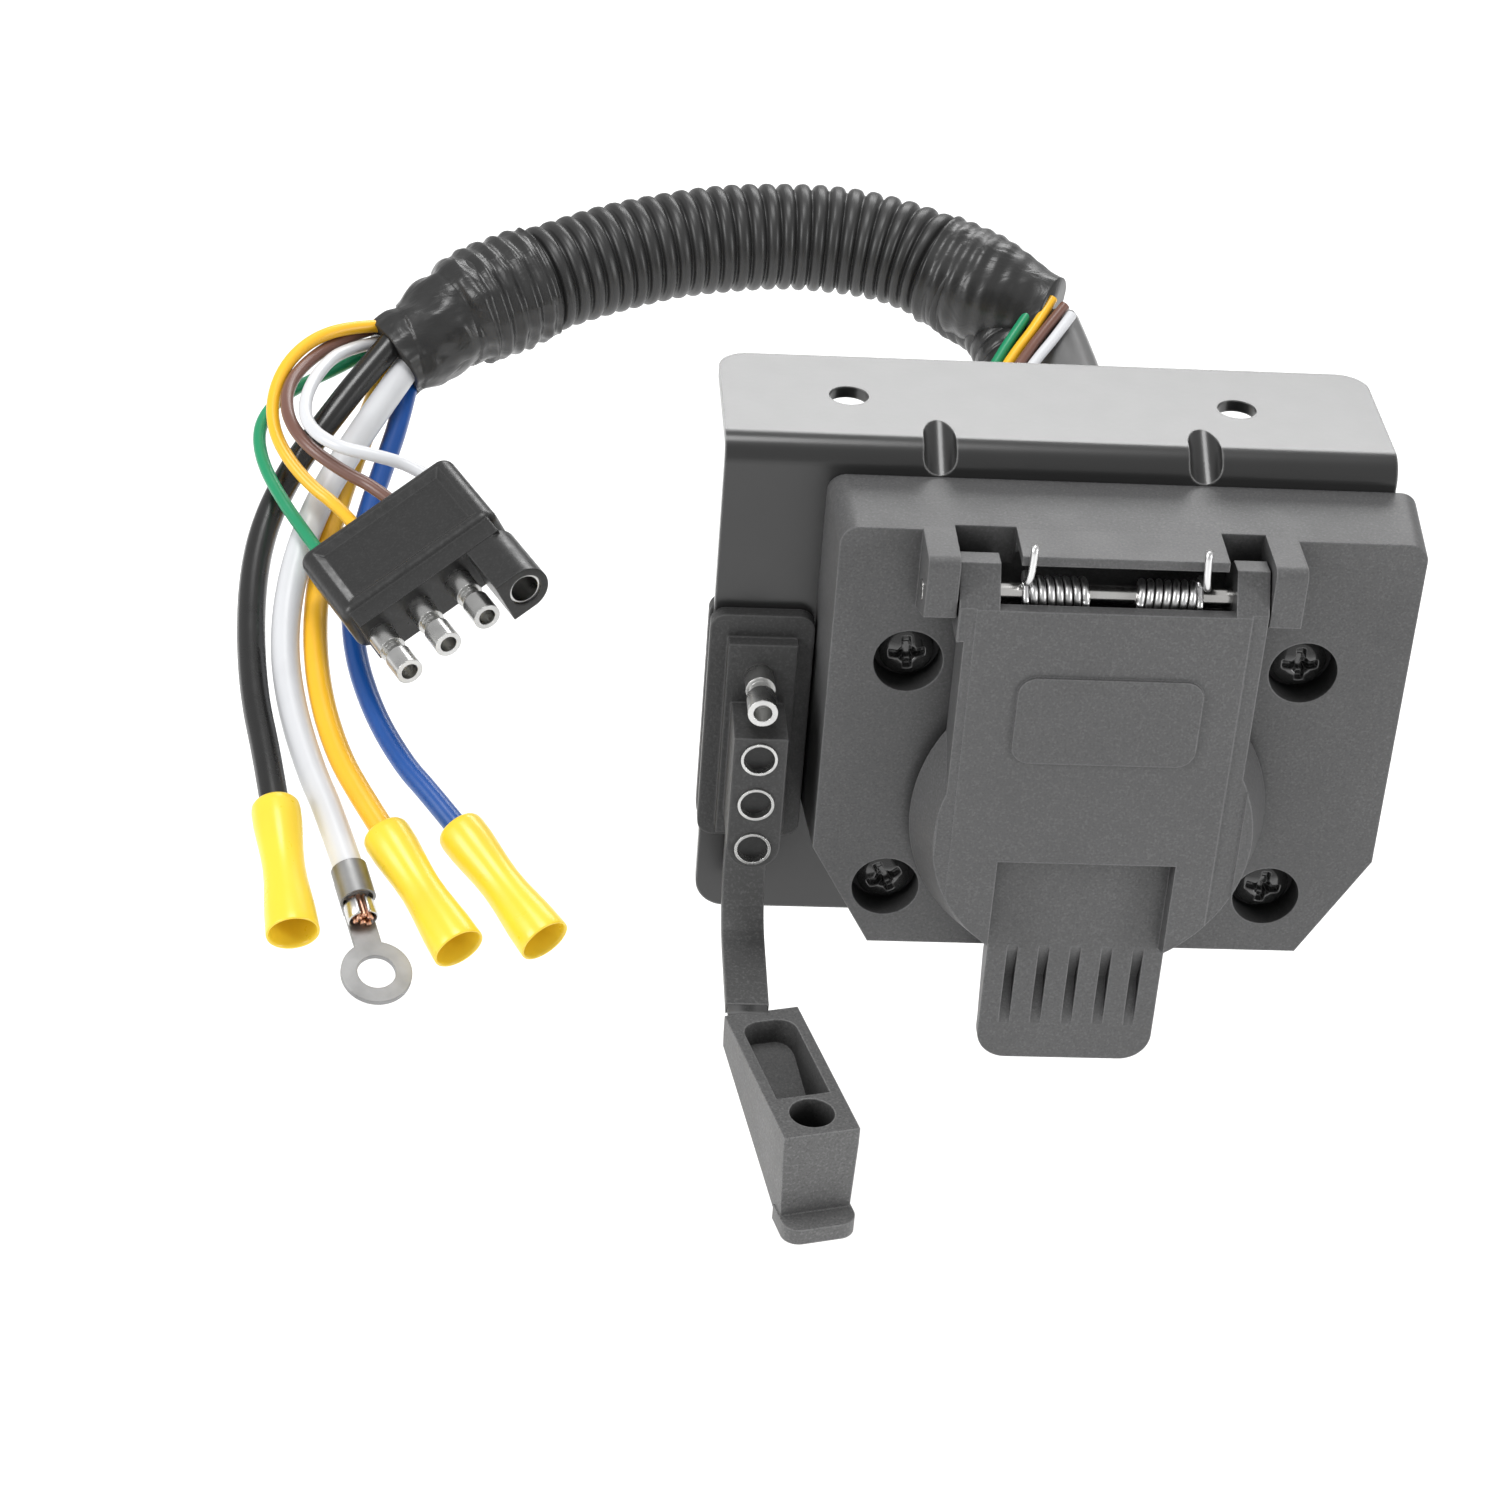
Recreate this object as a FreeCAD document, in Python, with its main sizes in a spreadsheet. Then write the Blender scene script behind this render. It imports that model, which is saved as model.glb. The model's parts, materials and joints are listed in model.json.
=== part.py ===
import FreeCAD, Part
import math
import os
import re
from collections import namedtuple

import Sketcher
from FreeCAD import Placement, Rotation, Vector

# Trailer wiring connector: a seven-way round socket with a spring lid and a four-way flat
# connector, side by side on a bent steel bracket, with the harness that plugs into the vehicle.
# The origin is midway between the two bolt holes, on the top face of the bracket's flange.
# X runs to the right, Y to the back and Z up. All lengths are in millimetres.
# Sizes whose names end in _front are distances in front of the origin, that is, -Y.

doc = FreeCAD.newDocument("trailer_wiring_connector")

SIZES = {
    # Bracket: one sheet, bent into a flange and a plate
    "sheet": 2, "bracket_left": -52, "bracket_right": 55, "bracket_bottom": -88,
    "plate_front": 17, "flange_back": 14, "bend_radius": 4, "bracket_corner": 5,
    "bolt_spacing": 63, "bolt_hole_radius": 3.2,
    "rib_left": -18.1, "rib_right": 24.2, "rib_width": 5.2, "rib_reach": 7.6, "rib_drop": 4.9,
    "neck_slot_right": -38.2, "neck_slot_top": -33, "neck_slot_bottom": -69,
    # Seven-way housing
    "axis_across": 9, "axis_height": -56.2,
    "housing_left": -35.6, "housing_right": 58.8, "housing_top": -5.2, "housing_bottom": -85,
    "housing_front": 32.2, "housing_draft": 4, "housing_wall": 3, "housing_corner": 3,
    "chamfer_across": 10.8, "chamfer_up": 19,
    "well_radius": 5.5, "well_depth": 5.5, "well_left": -22.1, "well_right": 41,
    "well_upper": -30, "well_lower": -73, "well_boss": 7.5,
    "barrel_radius": 25, "barrel_back": 6, "boss_radius": 27, "boss_front": 34.5,
    "cavity_radius": 22.8, "back_bore": 19,
    # Lid hinge on the housing
    "hinge_front": 37, "hinge_height": -14.2, "hinge_radius": 1.65, "hinge_fit": 0.05,
    "hinge_left": -21.9, "hinge_right": 36.9, "knuckle_front": 42, "knuckle_base": -20.5,
    "knuckle_lip": -16.2, "knuckle_top": -6.2, "knuckle_inner_left": -16.8,
    "knuckle_inner_right": 31.9, "knuckle_width": 5, "ear_slot_depth": 1.6,
    "shelf_left": -7.2, "shelf_right": 24.9, "shelf_front": 39.9, "shelf_thick": 1.6,
    "channel_radius": 6.6,
    # Lid
    "lid_left": -15.3, "lid_right": 31.6, "lid_front": 42.7, "lid_back": 35, "lid_wall": 2.2,
    "lid_rear_radius": 28.8, "lid_face_radius": 25.6, "lid_top": -14.3, "ear_width": 5.1,
    "ear_radius": 5.8, "ear_flare": 1.2, "panel_bottom": -56, "flank_left": 1.5, "flank_right": 2.5,
    "flank_step": 0.25,
    "badge_left": -6, "badge_right": 23.2, "badge_top": -25.9, "badge_bottom": -41.5,
    "badge_raise": 0.5, "badge_corner": 3,
    "recess_left": -5.9, "recess_right": 22.9, "recess_top": -60.6,
    "tongue_left": -5.2, "tongue_right": 23.9, "tongue_front": 39, "tongue_tip": -102,
    "tongue_tip_back": 37, "tongue_root": -84, "tongue_thin": -95,
    "tongue_corner": 5,
    "groove_pitch": 5.2, "groove_width": 1.7, "groove_depth": 2.2, "groove_top": -77.6,
    "groove_deep": -86.5, "groove_bottom": -97,
    "gasket_outer": 26.4, "gasket_inner": 21.6, "gasket_front": 37, "gasket_gap": 0.25,
    # Lid springs
    "spring_wire": 1.2, "spring_radius": 2.35, "spring_pitch": 1.34, "spring_turns": 7,
    "left_spring": -5.9, "right_spring": 11.9, "spring_leg_up": 11.2,
    "spring_leg_down": 9, "spring_leg_lean": 14,
    # Contacts inside the socket
    "insert_radius": 22.7, "insert_thick": 10, "blade_circle": 14.5, "blade_wide": 7.5,
    "blade_thick": 1.6, "blade_tip_front": 26, "blade_tail": 8, "pin_radius": 2.4,
    # Rear cover
    "cover_rim": 3, "cover_cone": 15, "cover_neck": 8, "cover_neck_radius": 9.5,
    "cover_wall": 2.5, "jacket_radius": 5.5,
    # Housing screws and nuts
    "screw_radius": 2.05, "screw_hole": 2.3, "screw_head_radius": 4.4,
    "screw_head_thick": 3.3, "screw_tip": 9.5, "nut_thick": 3.2, "nut_flats": 8.7,
    "recess_wide": 1.1, "recess_long": 5.4, "recess_deep": 1.4,
    # Four-way flat connector on the bracket
    "boot_left": -52.6, "boot_right": -35.8, "boot_top": -30, "boot_bottom": -72,
    "boot_flange": 2.5, "boot_neck_gap": 0.2, "boot_back": 0,
    "raised_left": -49.7, "raised_right": -38.5, "raised_top": -34, "raised_bottom": -70,
    "raised_front": 22, "block_left": -48.6, "block_right": -40, "block_top": -44.8,
    "block_bottom": -69.5, "block_front": 33,
    "terminal_across": -44.4, "terminal_first": -40, "terminal_pitch": 8.55,
    "terminal_radius": 2.95, "terminal_bore": 2.5, "terminal_long": 12,
    "flat_pin_radius": 2.4, "flat_pin_waist": 1.75, "flat_pin_bore": 1.5,
    # Strap and dust cap
    "strap_width": 7, "strap_thick": 2, "strap_front": 21.9, "strap_top": -70.4,
    "strap_bend_top": -77, "strap_bend": 10, "strap_turn": 84, "strap_end_front": 45.6,
    "cap_top": -88, "cap_across": -42.2,
    "cap_back_front": 47, "cap_yaw": 14, "cap_long": 32.5, "cap_wide": 12.4, "cap_tall": 18.2,
    "cap_back_tall": 6, "cap_narrow": 0.6, "cap_slot_wide": 8.8, "cap_slot_back": 2.6,
    "cap_slot_front": 22.7, "cap_slot_deep_back": 4.6, "cap_slot_deep": 13,
    "cap_slot_corner": 3,
    "cap_hole_radius": 3.6, "cap_hole_front": 27.2,
    "cap_hole_deep": 11, "tab_thick": 2.8, "tab_reach": 4.2, "tab_wide": 12,
    # Trailer-side flat plug, in its own frame
    "plug_wide": 32.4, "plug_long": 24.1, "plug_thick": 10.4, "plug_corner": 2.6,
    "plug_round": 1.6, "plug_nose": 4, "plug_nose_inset": 1.6, "plug_pitch": 8.1,
    "plug_pin_long": 11.7, "plug_socket_wide": 8.6, "plug_pocket": 0.9,
    "plug_rim_wide": 2.7, "plug_rim_deep": 2, "plug_rim_slope": 1.4,
    # Butt connectors and ring terminal, in their own frames
    "butt_long": 27, "butt_flare": 4.3, "butt_waist": 3.2, "butt_bore": 2.65,
    "butt_mouth": 3.5, "butt_mouth_deep": 8, "butt_barrel_long": 13, "butt_barrel_bore": 2,
    "ring_radius": 6, "ring_hole": 3.25, "ring_thick": 1, "ring_reach": 19.8,
    "ring_neck": 4.6, "crimp_radius": 3.1, "crimp_long": 6.5,
    # Harness diameters
    "loom_diameter": 20.5, "tape_start_radius": 10.8, "tape_end_radius": 7.8,
    "black_diameter": 5.1, "white_diameter": 5.2, "yellow_diameter": 4.4,
    "blue_diameter": 4, "lead_diameter": 2.4, "feed_diameter": 2,
}

sheet = doc.addObject("Spreadsheet::Sheet", "Sizes")
for row, (alias, number) in enumerate(SIZES.items(), start=1):
    sheet.set(f"A{row}", alias.replace("_", " "))
    sheet.set(f"B{row}", str(number))
    sheet.setAlias(f"B{row}", alias)
doc.recompute()

Circle = namedtuple("Circle", "across up radius")
BACK = Rotation(Vector(0, 0, 1), Vector(0, 1, 0))      # turns a part's own Z to the back
FRONT = Rotation(Vector(0, 0, 1), Vector(0, -1, 0))    # turns it to the front
RIGHT = Rotation(Vector(0, 0, 1), Vector(1, 0, 0))     # turns it to the right
nodes = []


# ---------------------------------------------------------------- helpers

def size(alias):
    """The number that the sheet holds for one size."""
    return float(sheet.get(alias))


def cells(expression):
    """Point every size name in an expression at its cell in the sheet."""
    def cell(found):
        return "Sizes." + found.group() if found.group() in SIZES else found.group()
    return re.sub(r"[a-z][a-z_]*", cell, str(expression))


def bind(item, **properties):
    """Bind an object's properties to sheet expressions; __ stands for a dot in a name."""
    for name, expression in properties.items():
        item.setExpression(name.replace("__", "."), cells(expression))
    return item


def keep(item, label):
    """List a finished piece as a node of its own."""
    item.Label = label
    nodes.append(item)
    return item


def place(item, across, back, height, turn=None):
    """Bind where an object stands, with an optional fixed turn."""
    if turn is not None:
        item.Placement = Placement(Vector(), turn)
    return bind(item, Placement__Base__x=across, Placement__Base__y=back,
                Placement__Base__z=height)


def origin_plane(body, role):
    """One of a body's own origin planes."""
    return next(item for item in body.Origin.OriginFeatures if item.Role == role)


def rectangle(left, bottom, right, top):
    return [(left, bottom), (right, bottom), (right, top), (left, top)]


def draw(sketch, outline):
    """Add one closed outline, fully held by sheet expressions."""
    first = sketch.GeometryCount
    held = []
    if isinstance(outline, Circle):
        sketch.addGeometry(Part.Circle(Vector(), Vector(0, 0, 1), 1))
        held += [("DistanceX", (first, 3), outline.across), ("DistanceY", (first, 3), outline.up)]
        radius = sketch.addConstraint(Sketcher.Constraint("Radius", first, 1.0))
        sketch.setExpression(f"Constraints[{radius}]", cells(outline.radius))
    else:
        count = len(outline)
        ring = [Vector(math.cos(turn), math.sin(turn), 0)
                for turn in (math.tau * index / count for index in range(count))]
        for index in range(count):
            sketch.addGeometry(Part.LineSegment(ring[index], ring[(index + 1) % count]))
        for index in range(count):
            following = first + (index + 1) % count
            sketch.addConstraint(Sketcher.Constraint("Coincident", first + index, 2, following, 1))
        for index, (across, up) in enumerate(outline):
            held += [("DistanceX", (first + index, 1), across)]
            held += [("DistanceY", (first + index, 1), up)]
    for kind, (element, point), expression in held:
        start = sketch.getPoint(element, point)
        now = start.x if kind == "DistanceX" else start.y
        index = sketch.addConstraint(Sketcher.Constraint(kind, -1, 1, element, point, now))
        sketch.setExpression(f"Constraints[{index}]", cells(expression))


def extrude(body, kind, plane, at, length, outlines, backwards=False, taper=None):
    """Add a Pad or a Pocket drawn on one of the body's origin planes, and see that it counts."""
    before = body.Shape.Volume if body.Tip else 0
    sketch = body.newObject("Sketcher::SketchObject", body.Name + "_sketch")
    sketch.AttachmentSupport = [(origin_plane(body, plane), "")]
    sketch.MapMode = "FlatFace"
    bind(sketch, AttachmentOffset__Base__z=at)
    for outline in outlines:
        draw(sketch, outline)
    feature = body.newObject("PartDesign::" + kind, f"{body.Name}_{kind.lower()}")
    feature.Profile = sketch
    feature.Reversed = backwards
    bind(feature, Length=length)
    if taper:
        bind(feature, TaperAngle=taper)
    sketch.Visibility = False
    doc.recompute()
    change = body.Shape.Volume - before
    if (kind == "Pad") != (change > 0):
        raise RuntimeError(f"{body.Label}: {feature.Name} changed the volume by {change:.2f}")
    return feature


def pad(body, plane, at, length, *outlines, **options):
    return extrude(body, "Pad", plane, at, length, outlines, **options)


def pocket(body, plane, at, length, *outlines, **options):
    return extrude(body, "Pocket", plane, at, length, outlines, **options)


def new_body(label):
    body = doc.addObject("PartDesign::Body", label)
    return keep(body, label)


def edge_names(shape, direction, middles):
    """Edges that run mostly one way and whose middle fits one of the (x, y, z) patterns."""
    names = []
    for number, edge in enumerate(shape.Edges, start=1):
        box = edge.BoundBox
        spans = {"x": box.XLength, "y": box.YLength, "z": box.ZLength}
        along = spans.pop(direction)
        if along < 3 * max(spans.values()):
            continue
        for middle in middles:
            near = [abs(value - wanted) < 0.75 for value, wanted in zip(box.Center, middle)
                    if wanted is not None]
            if all(near):
                names.append(f"Edge{number}")
                break
    return names


def soften(body, kind, amount, direction, *middles):
    """Fillet or chamfer the chosen edges of a body."""
    names = edge_names(body.Shape, direction, middles)
    if len(names) < len(middles):
        raise RuntimeError(f"{body.Label}: found {len(names)} edges for {len(middles)} places")
    base = body.Tip
    feature = body.newObject("PartDesign::" + kind, f"{body.Name}_{kind.lower()}")
    feature.Base = (base, names)
    bind(feature, **{"Radius" if kind == "Fillet" else "Size": amount})
    doc.recompute()


def block(name, long, wide, tall, across, back, height, turn=None):
    item = doc.addObject("Part::Box", name)
    bind(item, Length=long, Width=wide, Height=tall)
    return place(item, across, back, height, turn)


def rod(name, radius, long, across, back, height, turn=None):
    item = doc.addObject("Part::Cylinder", name)
    bind(item, Radius=radius, Height=long)
    return place(item, across, back, height, turn)


def cone(name, start_radius, end_radius, long, across, back, height, turn=None):
    item = doc.addObject("Part::Cone", name)
    bind(item, Radius1=start_radius, Radius2=end_radius, Height=long)
    return place(item, across, back, height, turn)


def join(name, *items):
    item = doc.addObject("Part::MultiFuse", name)
    item.Shapes = list(items)
    return item


def cut(name, base, tool):
    item = doc.addObject("Part::Cut", name)
    item.Base = base
    item.Tool = tool
    return item


def group(name, items):
    """Several separate solids of one kind, kept as one node."""
    item = doc.addObject("Part::Compound", name)
    item.Links = list(items)
    return keep(item, name)


def solid(label, shape):
    item = doc.addObject("Part::Feature", label)
    item.Shape = shape
    return keep(item, label)


# ---------------------------------------------------------------- bracket

def make_bracket():
    """L bracket: a flange on top and a plate in front, with two pressed gusset ribs."""
    body = new_body("plain_bracket")
    width = "bracket_right - bracket_left"
    section = [("flange_back", "0"), ("-plate_front", "0"), ("-plate_front", "bracket_bottom"),
               ("sheet - plate_front", "bracket_bottom"), ("sheet - plate_front", "-sheet"),
               ("flange_back", "-sheet")]
    pad(body, "YZ_Plane", "bracket_left", width, section)
    front = -size("plate_front")
    soften(body, "Fillet", "bend_radius", "x", (None, front, 0))
    inner = size("sheet")
    soften(body, "Fillet", "bend_radius - sheet", "x", (None, front + inner, -inner))
    left, right = size("bracket_left"), size("bracket_right")
    back, bottom = size("flange_back"), size("bracket_bottom")
    soften(body, "Fillet", "bracket_corner", "z", (left, back, None), (right, back, None))
    soften(body, "Fillet", "bracket_corner", "y", (left, None, bottom), (right, None, bottom))

    # Each rib is a round-bottomed groove pressed across the bend, with a fill inside the bend
    slant = "sqrt(pow(plate_front - rib_reach; 2) + pow(rib_drop; 2))"
    offset_back = f"sheet * {slant} / rib_drop"
    offset_down = f"sheet * {slant} / (plate_front - rib_reach)"
    inside = [("sheet - plate_front", "-sheet"),
              (f"-rib_reach + {offset_back} - sheet * (plate_front - rib_reach) / rib_drop", "-sheet"),
              ("sheet - plate_front", f"-rib_drop - {offset_down} + sheet * rib_drop"
                                      " / (plate_front - rib_reach)")]
    for rib in ("rib_left", "rib_right"):
        pad(body, "YZ_Plane", f"{rib} - rib_width / 2", "rib_width", inside)

    pocket(body, "XY_Plane", "1", "sheet + 2",
           Circle("bolt_spacing / 2", "0", "bolt_hole_radius"),
           Circle("-bolt_spacing / 2", "0", "bolt_hole_radius"))
    openings = [Circle("axis_across", "axis_height", "barrel_radius + 0.6")]
    openings += [Circle(x, z, "screw_hole") for x, z in screw_places()]
    openings += [rectangle("bracket_left - 2", "neck_slot_bottom", "neck_slot_right",
                           "neck_slot_top")]
    pocket(body, "XZ_Plane", "plate_front + 1", "sheet + 2", *openings)

    # The grooves' lowest lines run from the flange, rib_reach in front, to rib_drop on the plate
    nodes.remove(body)
    slope = Vector(0, size("plate_front") - size("rib_reach"), size("rib_drop"))
    across = f"(plate_front - rib_reach) / {slant}"
    down = f"rib_drop / {slant}"
    grooves = [rod("rib_groove", "rib_width / 2", f"{slant} + 20", rib,
                   f"-plate_front - rib_width / 2 * {down} - 10 * {across}",
                   f"-rib_drop + rib_width / 2 * {across} - 10 * {down}",
                   Rotation(Vector(0, 0, 1), slope)) for rib in ("rib_left", "rib_right")]
    keep(cut("ribbed_bracket", body, join("rib_grooves", *grooves)), "mounting_bracket")


def screw_places():
    """Centres of the four housing screws."""
    return [(x, z) for x in ("well_left", "well_right") for z in ("well_upper", "well_lower")]


# ---------------------------------------------------------------- seven-way housing

def housing_outline(inset="0"):
    """Outline with two cut lower corners, drawn in by an inset."""
    slope = f"{inset} * 0.6"
    left, right = f"housing_left + {inset}", f"housing_right - {inset}"
    low, high = f"housing_bottom + {inset}", f"housing_top - {inset}"
    shoulder = f"housing_bottom + chamfer_up + {slope}"
    return [(left, high), (left, shoulder), (f"housing_left + chamfer_across + {slope}", low),
            (f"housing_right - chamfer_across - {slope}", low), (right, shoulder), (right, high)]


def make_housing():
    """Moulded shell with the socket barrel, the screw wells and the lid's hinge knuckles."""
    body = new_body("socket_housing")
    depth = "housing_front - plate_front"
    pad(body, "XZ_Plane", "plate_front", depth, housing_outline(), taper="-housing_draft")
    left, right = size("housing_left"), size("housing_right")
    soften(body, "Fillet", "housing_corner", "y", (left, None, size("housing_top")),
           (right, None, size("housing_top")))
    hollow = "housing_front - plate_front - housing_wall"
    pocket(body, "XZ_Plane", "plate_front", hollow, housing_outline("housing_wall"),
           backwards=True)
    pad(body, "XZ_Plane", "plate_front", f"{hollow} + 1",
        *[Circle(x, z, "well_boss") for x, z in screw_places()])
    pad(body, "XZ_Plane", "-barrel_back", f"barrel_back + plate_front + {hollow} + 1",
        Circle("axis_across", "axis_height", "barrel_radius"))
    pad(body, "XZ_Plane", "housing_front - 1", "1 + boss_front - housing_front",
        Circle("axis_across", "axis_height", "boss_radius"))

    # Hinge: two knuckles, a shelf over the springs, slots for the lid's ears
    pad(body, "XZ_Plane", "housing_front - 1", "1 + shelf_front - housing_front",
        rectangle("shelf_left", "knuckle_top - shelf_thick", "shelf_right", "knuckle_top"))
    cheek = [("1 - housing_front", "knuckle_top"), ("-knuckle_front", "knuckle_top"),
             ("-knuckle_front", "knuckle_lip"), ("1 - housing_front", "knuckle_base")]
    pad(body, "YZ_Plane", "knuckle_inner_left - knuckle_width", "knuckle_width", cheek)
    pad(body, "YZ_Plane", "knuckle_inner_right", "knuckle_width", cheek)
    front, top = -size("knuckle_front"), size("knuckle_top")
    soften(body, "Fillet", "shelf_thick", "x", (None, front, top))
    pocket(body, "XZ_Plane", "housing_front + 3", "3 + ear_slot_depth",
           rectangle("knuckle_inner_left", "knuckle_base", "shelf_left", "housing_top + 3"),
           rectangle("shelf_right", "knuckle_base", "knuckle_inner_right", "housing_top + 3"))
    pocket(body, "YZ_Plane", "knuckle_inner_right", "knuckle_inner_right - knuckle_inner_left",
           Circle("-hinge_front", "hinge_height", "channel_radius"))
    pocket(body, "YZ_Plane", "hinge_right + 1", "hinge_right - hinge_left + 2",
           Circle("-hinge_front", "hinge_height", "hinge_radius + hinge_fit"))

    # Socket cavity, screw wells and screw holes
    pocket(body, "XZ_Plane", "boss_front + 1", "boss_front + 1",
           Circle("axis_across", "axis_height", "cavity_radius"))
    pocket(body, "XZ_Plane", "1", "barrel_back + 2",
           Circle("axis_across", "axis_height", "back_bore"))
    pocket(body, "XZ_Plane", "housing_front + 1", "well_depth + 1",
           *[Circle(x, z, "well_radius") for x, z in screw_places()])
    pocket(body, "XZ_Plane", "housing_front", depth,
           *[Circle(x, z, "screw_hole") for x, z in screw_places()])


def make_rear_cover():
    """Rubber boot over the back of the socket, with a neck that grips the cable."""
    at = ("axis_across", "axis_height")
    back = "barrel_back"
    outside = join("cover_outside",
                   rod("cover_rim_ring", "barrel_radius", "cover_rim", at[0], back, at[1], BACK),
                   cone("cover_cone_out", "barrel_radius", "cover_neck_radius", "cover_cone",
                        at[0], f"{back} + cover_rim", at[1], BACK),
                   rod("cover_neck_out", "cover_neck_radius", "cover_neck", at[0],
                       f"{back} + cover_rim + cover_cone", at[1], BACK))
    inside = join("cover_inside",
                  cone("cover_cone_in", "barrel_radius - cover_wall", "jacket_radius",
                       "cover_rim + cover_cone", at[0], back, at[1], BACK),
                  rod("cover_bore", "jacket_radius", "cover_rim + cover_cone + cover_neck + 1",
                      at[0], back, at[1], BACK))
    keep(cut("rear_cover", outside, inside), "rear_cover")


def make_contacts():
    """Contact carrier with six blades round a centre contact."""
    body = new_body("terminal_insert")
    pad(body, "XZ_Plane", "0", "insert_thick", Circle("axis_across", "axis_height",
                                                      "insert_radius"))
    pocket(body, "XZ_Plane", "insert_thick + 1", "insert_thick + 2",
           Circle("axis_across", "axis_height", "pin_radius"))
    slot = pocket(body, "XZ_Plane", "insert_thick + 1", "insert_thick + 2",
                  rectangle("axis_across - blade_wide / 2",
                            "axis_height + blade_circle - blade_thick / 2",
                            "axis_across + blade_wide / 2",
                            "axis_height + blade_circle + blade_thick / 2"))
    axis_sketch = body.newObject("Sketcher::SketchObject", "insert_axis")
    axis_sketch.AttachmentSupport = [(origin_plane(body, "XZ_Plane"), "")]
    axis_sketch.MapMode = "FlatFace"
    bind(axis_sketch, AttachmentOffset__Base__x="axis_across",
         AttachmentOffset__Base__y="axis_height")
    ring = body.newObject("PartDesign::PolarPattern", "blade_slots")
    ring.Originals = [slot]
    ring.Axis = (axis_sketch, ["N_Axis"])
    ring.Angle = 360
    ring.Occurrences = 6
    before = body.Shape.Volume
    body.Tip = ring
    doc.recompute()
    if body.Shape.Volume >= before:
        raise RuntimeError("the blade slots were not repeated")

    blades = []
    for index in range(6):
        turn = 60 * index
        blade = doc.addObject("Part::Box", "blade")
        bind(blade, Length="blade_wide", Width="blade_tip_front + blade_tail",
             Height="blade_thick")
        blade.Placement = Placement(Vector(), Rotation(Vector(0, 1, 0), turn))
        across = f"-blade_wide / 2 * cos({turn}) + (blade_circle - blade_thick / 2) * sin({turn})"
        up = f"blade_wide / 2 * sin({turn}) + (blade_circle - blade_thick / 2) * cos({turn})"
        blades.append(place(blade, f"axis_across + {across}", "-blade_tip_front",
                            f"axis_height + {up}"))
    group("socket_blades", blades)
    shaft = rod("contact_shaft", "pin_radius", "blade_tip_front + blade_tail - 2", "axis_across",
                "blade_tail", "axis_height", FRONT)
    tip = cone("contact_tip", "pin_radius", "pin_radius / 2", "2", "axis_across",
               "2 - blade_tip_front", "axis_height", FRONT)
    keep(join("center_contact", shaft, tip), "center_contact")


def make_screws():
    """Four pan-head screws with cross recesses, and their nuts behind the bracket."""
    seat = "(housing_front - well_depth)"
    head_top = f"{seat} + screw_head_thick"
    screws = []
    nuts = []
    for x, z in screw_places():
        head = rod("screw_head", "screw_head_radius", "screw_head_thick", x, f"-{seat}", z, FRONT)
        shank = rod("screw_shank", "screw_radius", f"{seat} - screw_tip", x, f"-{seat}", z, BACK)
        slots = [block("cross_slot", "recess_long", "recess_deep + 1", "recess_wide",
                       f"{x} - recess_long / 2", f"-{head_top} - 1", f"{z} - recess_wide / 2"),
                 block("cross_slot", "recess_wide", "recess_deep + 1", "recess_long",
                       f"{x} - recess_wide / 2", f"-{head_top} - 1", f"{z} - recess_long / 2")]
        screws.append(cut("screw", join("screw_blank", head, shank), join("cross_recess", *slots)))
        prism = doc.addObject("Part::Prism", "nut_blank")
        prism.Polygon = 6
        bind(prism, Circumradius="nut_flats / 2 / cos(30)", Height="nut_thick")
        place(prism, x, "sheet - plate_front", z, BACK)
        hole = rod("nut_hole", "screw_radius", "nut_thick + 2", x, "sheet - plate_front - 1", z,
                   BACK)
        nuts.append(cut("nut", prism, hole))
    group("housing_screws", screws)
    group("housing_nuts", nuts)


# ---------------------------------------------------------------- lid

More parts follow.
